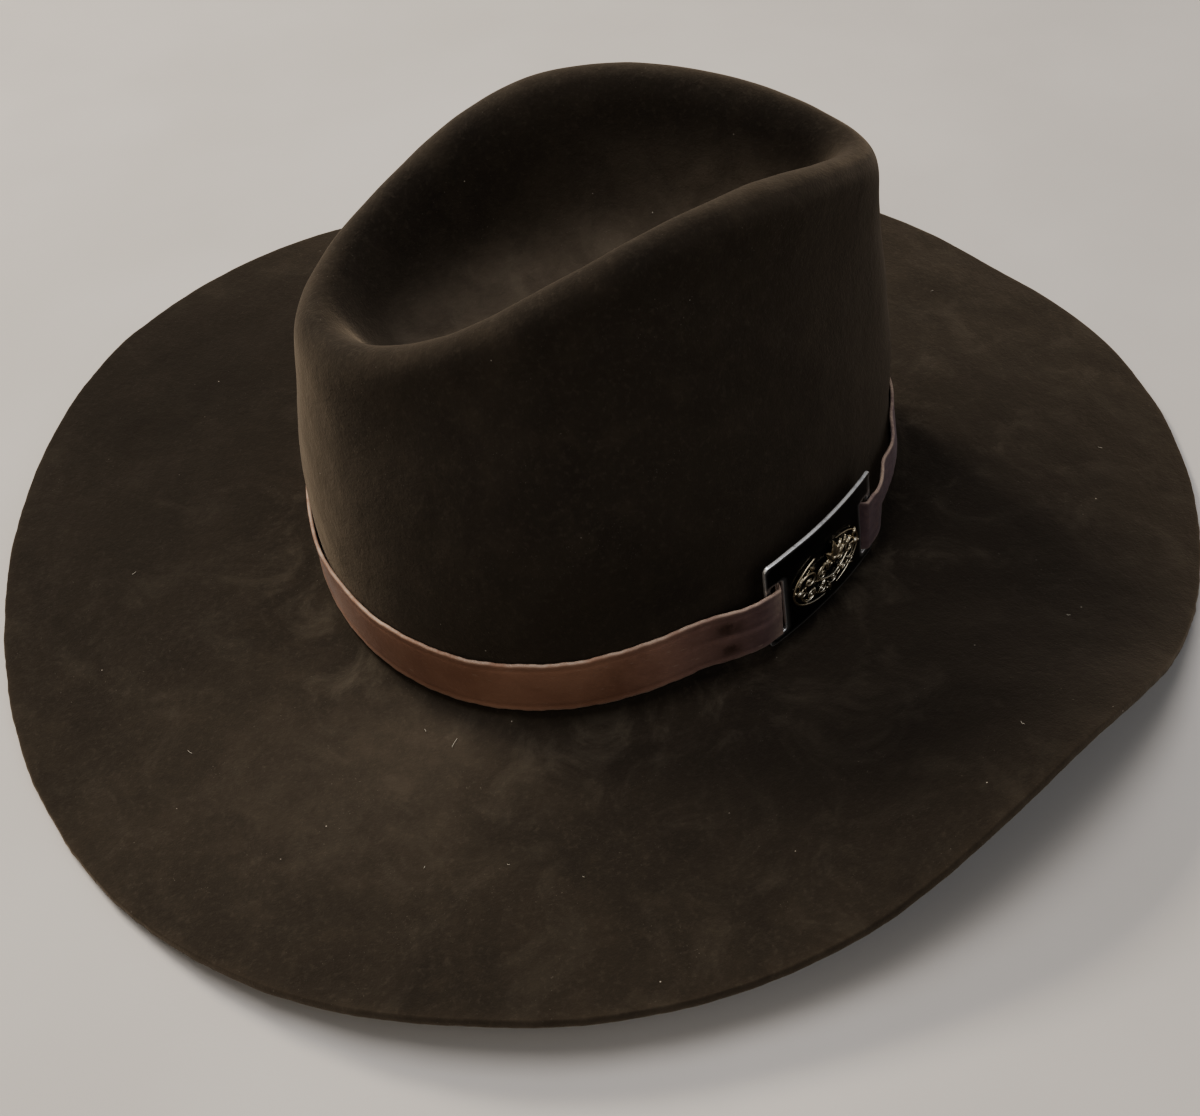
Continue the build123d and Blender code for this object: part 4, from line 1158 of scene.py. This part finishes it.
def sweatband_relief(turn, z):
    """Soft waves and a raised line near each edge."""
    return (0.18 * np.sin(np.radians(turn) * 5 + 0.6) * rise(z, 6, 20)
            + 0.16 * bell(z, 9.0, 0.35) + 0.16 * bell(z, 41.5, 0.3))


def lining_folds(turn, z):
    angle = np.radians(turn)
    pleats = 0.25 * np.sin(angle * 37 + 0.9 * np.sin(angle * 3)) + 0.22 * np.sin(angle * 23 + 1.0)
    return pleats * rise(z, 46, 8) - 0.30


def build_liner(name, material, slot, node, inset, thick, bottom, top, rows, relief, edge_roll):
    """Upright band inside the crown; inset is a function of the share of the height."""
    shares = np.linspace(0, 1, rows)
    # outline: share of the height, depth 1 on the exposed face and 0 on the hidden one
    outline = [(t, 1.0) for t in shares] + [(1.0, 0.5)]
    outline += [(t, 0.0) for t in shares[::-1]] + [(0.0, 0.5)]
    outline = np.array(outline)
    share, turn = np.meshgrid(outline[:, 0], ROUND_TURNS, indexing="ij")
    depth = outline[:, 1:]
    roll = np.where(np.abs(depth - 0.5) < 0.1, edge_roll * np.sign(share - 0.5), 0.0)
    z = bottom + (top - bottom) * share + roll
    points = wall(turn, z, -inset(share) - thick * depth + relief(turn, z))
    faces = grid_faces(len(outline), ROUND_COUNT, wrap_rows=True, wrap_cols=True)
    wear = np.exp(-(1 - share) * (top - bottom) / 1.6) + 0.25 * np.exp(-share * (top - bottom))
    add_piece(name, (points.reshape(-1, 3), faces), material, slot, node,
              attributes={"wear": np.clip(wear, 0, 1)}, outward_faces=True)


def build_bands():
    build_liner("sweatband_leather", "sweat", "sweat_leather", "sweatband",
                inset=lambda share: SWEAT_INSET, thick=SWEAT_THICK, bottom=SWEAT_BOTTOM,
                top=SWEAT_TOP, rows=26, relief=sweatband_relief, edge_roll=0.35)
    build_liner("lining_wall", "lining", "lining_cloth", "lining_side",
                inset=lambda share: lining_inset(
                    LINING_BOTTOM + (LINING_TOP - LINING_BOTTOM) * share),
                thick=0.5, bottom=LINING_BOTTOM, top=LINING_TOP + 0.6, rows=40,
                relief=lining_folds, edge_roll=0.1)


def build_lining_cord(edge):
    verts, faces = tube(edge, CORD_RADIUS, closed=True, sides=CORD_SIDES)
    angle = np.linspace(0, 2 * np.pi, CORD_SIDES, endpoint=False)
    twist = 0.10 * np.sin(np.arange(ROUND_COUNT)[:, None] * 0.9 + angle).ravel()
    verts = verts + (verts - np.repeat(edge, CORD_SIDES, axis=0)) * twist[:, None]
    add_piece("lining_cord", (verts, faces), "piping", "piping", "lining_piping")


def build_lining_top(edge):
    """Slightly domed, uneven oval of cloth inside the cord."""
    scales = np.linspace(1.0, 0.0, 60)[:-1]
    centre = edge.mean(0)
    rings = []
    for scale in scales:
        ring = centre + (edge - centre) * (scale * 0.992)
        ring[:, 2] = LINING_TOP + CORD_LIFT + 0.9 * (1 - scale ** 4)
        rings.append(ring)
    rings = np.array(rings)
    flat = rings * [1, 1, 0]
    inner = 1 - scales[:, None] ** 6
    rings[..., 2] += (waves(flat, 42.0, 20, 61, 0.45) * inner
                      + waves(flat, 14.0, 24, 62, 0.12) * inner)
    upper = rings.reshape(-1, 3)
    count = len(upper)
    columns = [(j, (j + 1) % ROUND_COUNT) for j in range(ROUND_COUNT)]
    faces = grid_faces(len(scales), ROUND_COUNT, wrap_cols=True)
    faces += grid_faces(len(scales), ROUND_COUNT, wrap_cols=True, base=count, flip=True)
    faces += [(j, k, count + k, count + j) for j, k in columns]
    middle = np.array([centre[0], centre[1], rings[-1, :, 2].mean()])
    drop = np.array([0, 0, LINING_TOP_THICK])
    verts = np.vstack([upper, upper - drop, middle, middle - drop])
    last = (len(scales) - 1) * ROUND_COUNT
    faces += [(2 * count, last + k, last + j) for j, k in columns]
    faces += [(2 * count + 1, count + last + j, count + last + k) for j, k in columns]
    add_piece("lining_top", (verts, faces), "lining", "lining_cloth", "lining_tip",
              outward_faces=True)


def build_lining():
    edge = wall(ROUND_TURNS, LINING_TOP, -lining_inset(LINING_TOP) - 1.0)
    edge[:, 2] = LINING_TOP + CORD_LIFT
    build_lining_cord(edge)
    build_lining_top(edge)


# ------------------------------------------------------------------ sweatband details
REED_Z, REED_INSET, REED_RADIUS = 1.1, 5.6, 0.7
TAPE_RADIUS, TAPE_HOLLOW, TAPE_SIDES = 1.45, 0.72, 20
SEAM_STITCHES, SEAM_Z = 108, 6.0
SEAM_TAPE_HALF = 3.8                                  # degrees each side of the back
PATCH_BACK = SWEAT_FACE + 0.05                        # hidden face of the tape and the label
LABEL_TURNS, LABEL_HEIGHTS = (146, 156), (22, 34)
BOW_TURN, BOW_Z, BOW_INSET = 180.0, 10.5, 7.6


def build_reed():
    """Reed rod at the foot of the sweatband, and the ribbed tape tube round it."""
    path = wall(ROUND_TURNS, 4.0, -REED_INSET)
    path[:, 2] = REED_Z
    add_piece("sweatband_reed_rod", tube(path, REED_RADIUS, closed=True, sides=12),
              "reed", "reed_plastic", "sweatband_reed")
    verts, faces = tube(path, TAPE_RADIUS, closed=True, sides=TAPE_SIDES)
    centres = np.repeat(path, TAPE_SIDES, axis=0)
    ribs = 1 + 0.06 * np.sin(np.arange(ROUND_COUNT) * 2 * np.pi / 6.0)
    outer = centres + (verts - centres) * np.repeat(ribs, TAPE_SIDES)[:, None]
    inner = centres + (verts - centres) * TAPE_HOLLOW
    faces = faces + [tuple(i + len(outer) for i in face[::-1]) for face in faces]
    add_piece("reed_tape_tube", (np.vstack([outer, inner]), faces), "tape", "tape",
              "reed_casing")


def build_seam_stitches():
    """Slanted stitches round the foot of the sweatband, none at the back seam."""
    stitches = []
    lift = 0.20 * np.sin(np.linspace(0, np.pi, 7)) - 0.03
    for i in range(SEAM_STITCHES):
        middle = 360.0 * (i + 0.5) / SEAM_STITCHES
        if abs(middle - 180) < 6:
            continue
        path = wall(np.linspace(middle - 0.75, middle + 0.75, 7), SEAM_Z,
                    -SWEAT_FACE - 0.16 - lift)
        path[:, 2] += np.linspace(-0.25, 0.25, 7)
        stitches.append(tube(path, 0.24, sides=7))
    add_piece("sweatband_seam_stitches", merge(stitches), "thread", "thread",
              "sweatband_stitches")


def build_seam_tape():
    z, turn = np.meshgrid(np.linspace(4.4, 43.4, 60),
                          np.linspace(180 - SEAM_TAPE_HALF, 180 + SEAM_TAPE_HALF, 25),
                          indexing="ij")
    from_middle = np.abs(turn - 180)
    thick = 0.55 * (1 - 0.6 * (from_middle / SEAM_TAPE_HALF) ** 6)
    wear = np.clip((from_middle - 2.6) / 1.2, 0, 1)
    add_piece("sweatband_seam_tape",
              sheet(wall(turn, z, -PATCH_BACK), wall(turn, z, -PATCH_BACK - thick)),
              "sweat", "sweat_leather", "sweatband_back_seam", outward_faces=True,
              attributes={"wear": np.tile(wear.ravel(), 2)})


def ribbon(path, width, thick, width_dir):
    """Flat ribbon along a path (n, 3), slightly cupped, its width near width_dir."""
    along = np.gradient(path, axis=0)
    along /= np.linalg.norm(along, axis=1)[:, None]
    across = width_dir - (width_dir * along).sum(1)[:, None] * along
    across /= np.linalg.norm(across, axis=1)[:, None]
    normal = np.cross(along, across)[:, None]
    share = np.linspace(-1, 1, 9)[None, :, None]
    width = np.broadcast_to(width, (len(path),))[:, None, None]
    face = path[:, None] + across[:, None] * (share * width / 2)
    face = face + normal * (0.25 * (1 - share ** 2))
    return sheet(face, face - normal * thick)


def build_bow():
    """Ribbon bow at the back of the sweatband: two loops, two tails and a knot."""
    middle = wall(np.array([BOW_TURN]), BOW_Z, -BOW_INSET)[0]
    side_dir, inward, upward = np.array([-1.0, 0, 0]), np.array([0, -1.0, 0]), np.array([0, 0, 1.0])

    def place(aside, forward, height):
        return middle + (side_dir * np.asarray(aside)[..., None]
                         + inward * np.asarray(forward)[..., None] + upward * height[:, None])

    parts = []
    for side in (-1, 1):
        angle = np.linspace(0, 2 * np.pi, 48)
        loop = place(side * (5.6 - 5.4 * np.cos(angle)), 0.9 * np.sin(angle) + 0.3,
                     0.6 + 0.5 * np.sin(angle / 2))
        parts.append(ribbon(loop, width=2.0 + 2.8 * np.sin(angle / 2) ** 0.7, thick=0.22,
                            width_dir=upward))
        share = np.linspace(0, 1, 20)
        tail = place(side * (0.8 + 4.6 * share), 0.5 * np.sin(3 * share), -0.6 - 5.6 * share)
        parts.append(ribbon(tail, width=2.4 + 0.8 * share, thick=0.22,
                            width_dir=side_dir * 0.8 + upward * 0.5 * side))
    angle = np.linspace(0, 2 * np.pi, 24)
    knot = place(0.0, 1.0 * np.sin(angle), 1.9 * np.cos(angle) + 0.3)
    parts.append(ribbon(knot, width=2.9, thick=0.25, width_dir=side_dir))
    add_piece("sweatband_ribbon_bow", merge(parts), "ribbon", "ribbon", "sweatband_bow")


def build_label():
    """Blank cloth label on the sweatband, stitched along both upright sides."""
    z, turn = np.meshgrid(np.linspace(*LABEL_HEIGHTS, 31), np.linspace(*LABEL_TURNS, 31),
                          indexing="ij")
    puff = 0.10 * np.sin((turn - LABEL_TURNS[0]) / 10 * np.pi) + 0.04 * np.sin(z * 2.1)
    add_piece("blank_size_label",
              sheet(wall(turn, z, -PATCH_BACK), wall(turn, z, -PATCH_BACK - 0.30 - puff)),
              "label", "label_cloth", "size_label", outward_faces=True)
    stitches = []
    for i in range(14):
        level = LABEL_HEIGHTS[0] + 0.9 + i * (10.2 / 13)
        for side_turn in (LABEL_TURNS[0] + 0.9, LABEL_TURNS[1] - 0.9):
            path = wall(side_turn, level + np.linspace(-0.25, 0.25, 4), -PATCH_BACK - 0.45)
            stitches.append(tube(path, 0.12, sides=6))
    add_piece("label_stitches", merge(stitches), "thread", "thread")


# ------------------------------------------------------------------ lint
# pale fibres on the felt: x, y, angle, length
FIBRES = [
    (-125.0, 92.6, 150, 1.1), (-132.6, 71.1, 60, 1.0), (-84.3, 75.8, -39, 5.0),
    (-143.6, 53.3, 40, 0.9), (-76.7, 82.8, 10, 1.6), (-150.0, -70.0, 10, 2.2),
    (-110.0, -110.0, 80, 1.8), (-60.0, 150.0, 35, 2.6), (20.0, 160.0, 120, 2.2),
    (120.0, 90.0, 70, 2.0), (140.0, -40.0, 15, 2.4), (60.0, -150.0, 100, 1.8),
    (-40.0, -165.0, 55, 2.0), (5.0, 30.0, 30, 1.6), (-12.0, -8.0, 130, 1.2)]
FIBRE_RADIUS, FIBRE_LIFT = 0.055, 0.22


def build_lint(felt_face):
    draws = np.random.default_rng(7)
    fibres = []
    for x, y, angle, length in FIBRES:
        bend = draws.uniform(-0.5, 0.5)
        cosine, sine = math.cos(math.radians(angle)), math.sin(math.radians(angle))
        path = []
        for share in np.linspace(-0.5, 0.5, 14) * 0.7:
            along, aside = length * share, bend * length * share ** 2
            point_x = x + along * cosine + aside * sine
            point_y = y + along * sine - aside * cosine
            away = (felt_face[..., 0] - point_x) ** 2 + (felt_face[..., 1] - point_y) ** 2
            nearest = felt_face[np.unravel_index(np.argmin(away), away.shape)]
            path.append([point_x, point_y, nearest[2] + FIBRE_LIFT + 0.35 * abs(share)])
        fibres.append(tube(path, FIBRE_RADIUS, sides=5))
    add_piece("lint_fibres", merge(fibres), "label", "felt")


# ------------------------------------------------------------------ floor, light, camera
FLOOR_SIZE = 14.0                                     # m
# camera in the crown frame: angles in degrees, lengths in mm
CAMERA_AZIMUTH, CAMERA_ELEVATION, CAMERA_ROLL = 255.03, 49.21, -5.31
CAMERA_DISTANCE, CAMERA_RIGHT, CAMERA_UP = 463.5, 16.53, -36.15
CAMERA_LENS, CAMERA_SHIFT = 40.599, (-0.051375, 0.02941667)


def build_floor():
    bpy.ops.mesh.primitive_plane_add(size=FLOOR_SIZE, location=(0, 0, 0))
    floor = bpy.context.active_object
    floor.name = "floor"
    floor.data.materials.append(floor_material())


def area_light(name, place, target_z, size, energy, color):
    """Rectangular light aimed at a point above the scene origin."""
    light = bpy.data.lights.new(name, "AREA")
    light.shape = "RECTANGLE"
    light.size, light.size_y = size
    light.energy = energy
    light.color = color
    lamp = bpy.data.objects.new(name, light)
    bpy.context.scene.collection.objects.link(lamp)
    lamp.location = place
    aim = Vector((0, 0, target_z)) - Vector(place)
    lamp.rotation_euler = aim.to_track_quat("-Z", "Y").to_euler()


def build_lights():
    area_light("key_far", place=(1.42, 0.82, 1.55), target_z=0.06, size=(0.55, 0.55),
               energy=36, color=(1.0, 0.92, 0.80))
    area_light("top_soft", place=(0.15, 0.25, 1.60), target_z=0.08, size=(0.8, 0.8),
               energy=15, color=(0.98, 0.97, 1.0))
    area_light("fill_left", place=(-0.45, 1.30, 0.80), target_z=0.06, size=(0.9, 0.9),
               energy=3.2, color=(1.0, 0.84, 0.62))
    area_light("fill_front", place=(-1.05, -0.60, 1.0), target_z=0.05, size=(1.0, 0.9),
               energy=5.0, color=(0.92, 0.94, 1.0))
    studio = bpy.data.worlds.new("studio")
    bpy.context.scene.world = studio
    studio.use_nodes = True
    background = studio.node_tree.nodes["Background"]
    background.inputs["Color"].default_value = (0.80, 0.84, 0.92, 1.0)
    background.inputs["Strength"].default_value = 0.18


def build_camera():
    azimuth, elevation, roll = map(math.radians,
                                   (CAMERA_AZIMUTH, CAMERA_ELEVATION, CAMERA_ROLL))
    back = np.array([math.sin(azimuth) * math.cos(elevation),
                     -math.cos(azimuth) * math.cos(elevation), math.sin(elevation)])
    level = np.array([math.cos(azimuth), math.sin(azimuth), 0.0])
    upright = np.cross(back, level)
    right = math.cos(roll) * level + math.sin(roll) * upright
    upward = -math.sin(roll) * level + math.cos(roll) * upright
    place = to_scene(back * CAMERA_DISTANCE + right * CAMERA_RIGHT + upward * CAMERA_UP)
    axes = (np.stack([right, upward, back]) @ CROWN_AXES.T).T

    lens = bpy.data.cameras.new("photo_camera")
    camera = bpy.data.objects.new("photo_camera", lens)
    bpy.context.scene.collection.objects.link(camera)
    lens.sensor_fit = "HORIZONTAL"
    lens.sensor_width = 36.0
    lens.lens = CAMERA_LENS
    lens.shift_x, lens.shift_y = CAMERA_SHIFT
    lens.clip_start = 0.01
    camera.matrix_world = Matrix([[*axes[i], place[i]] for i in range(3)] + [[0, 0, 0, 1]])
    bpy.context.scene.camera = camera


# ------------------------------------------------------------------ build
felt_outer = build_felt()
build_strap()
build_lap_stitches()
build_plate()
build_ornament()
build_rivets()
build_bands()
build_lining()
build_reed()
build_seam_stitches()
build_seam_tape()
build_bow()
build_label()
build_lint(felt_outer)
build_floor()
build_lights()
build_camera()

view = bpy.context.scene.view_settings
view.view_transform = "AgX"
view.look = "AgX - Medium High Contrast"
view.exposure = 0.0
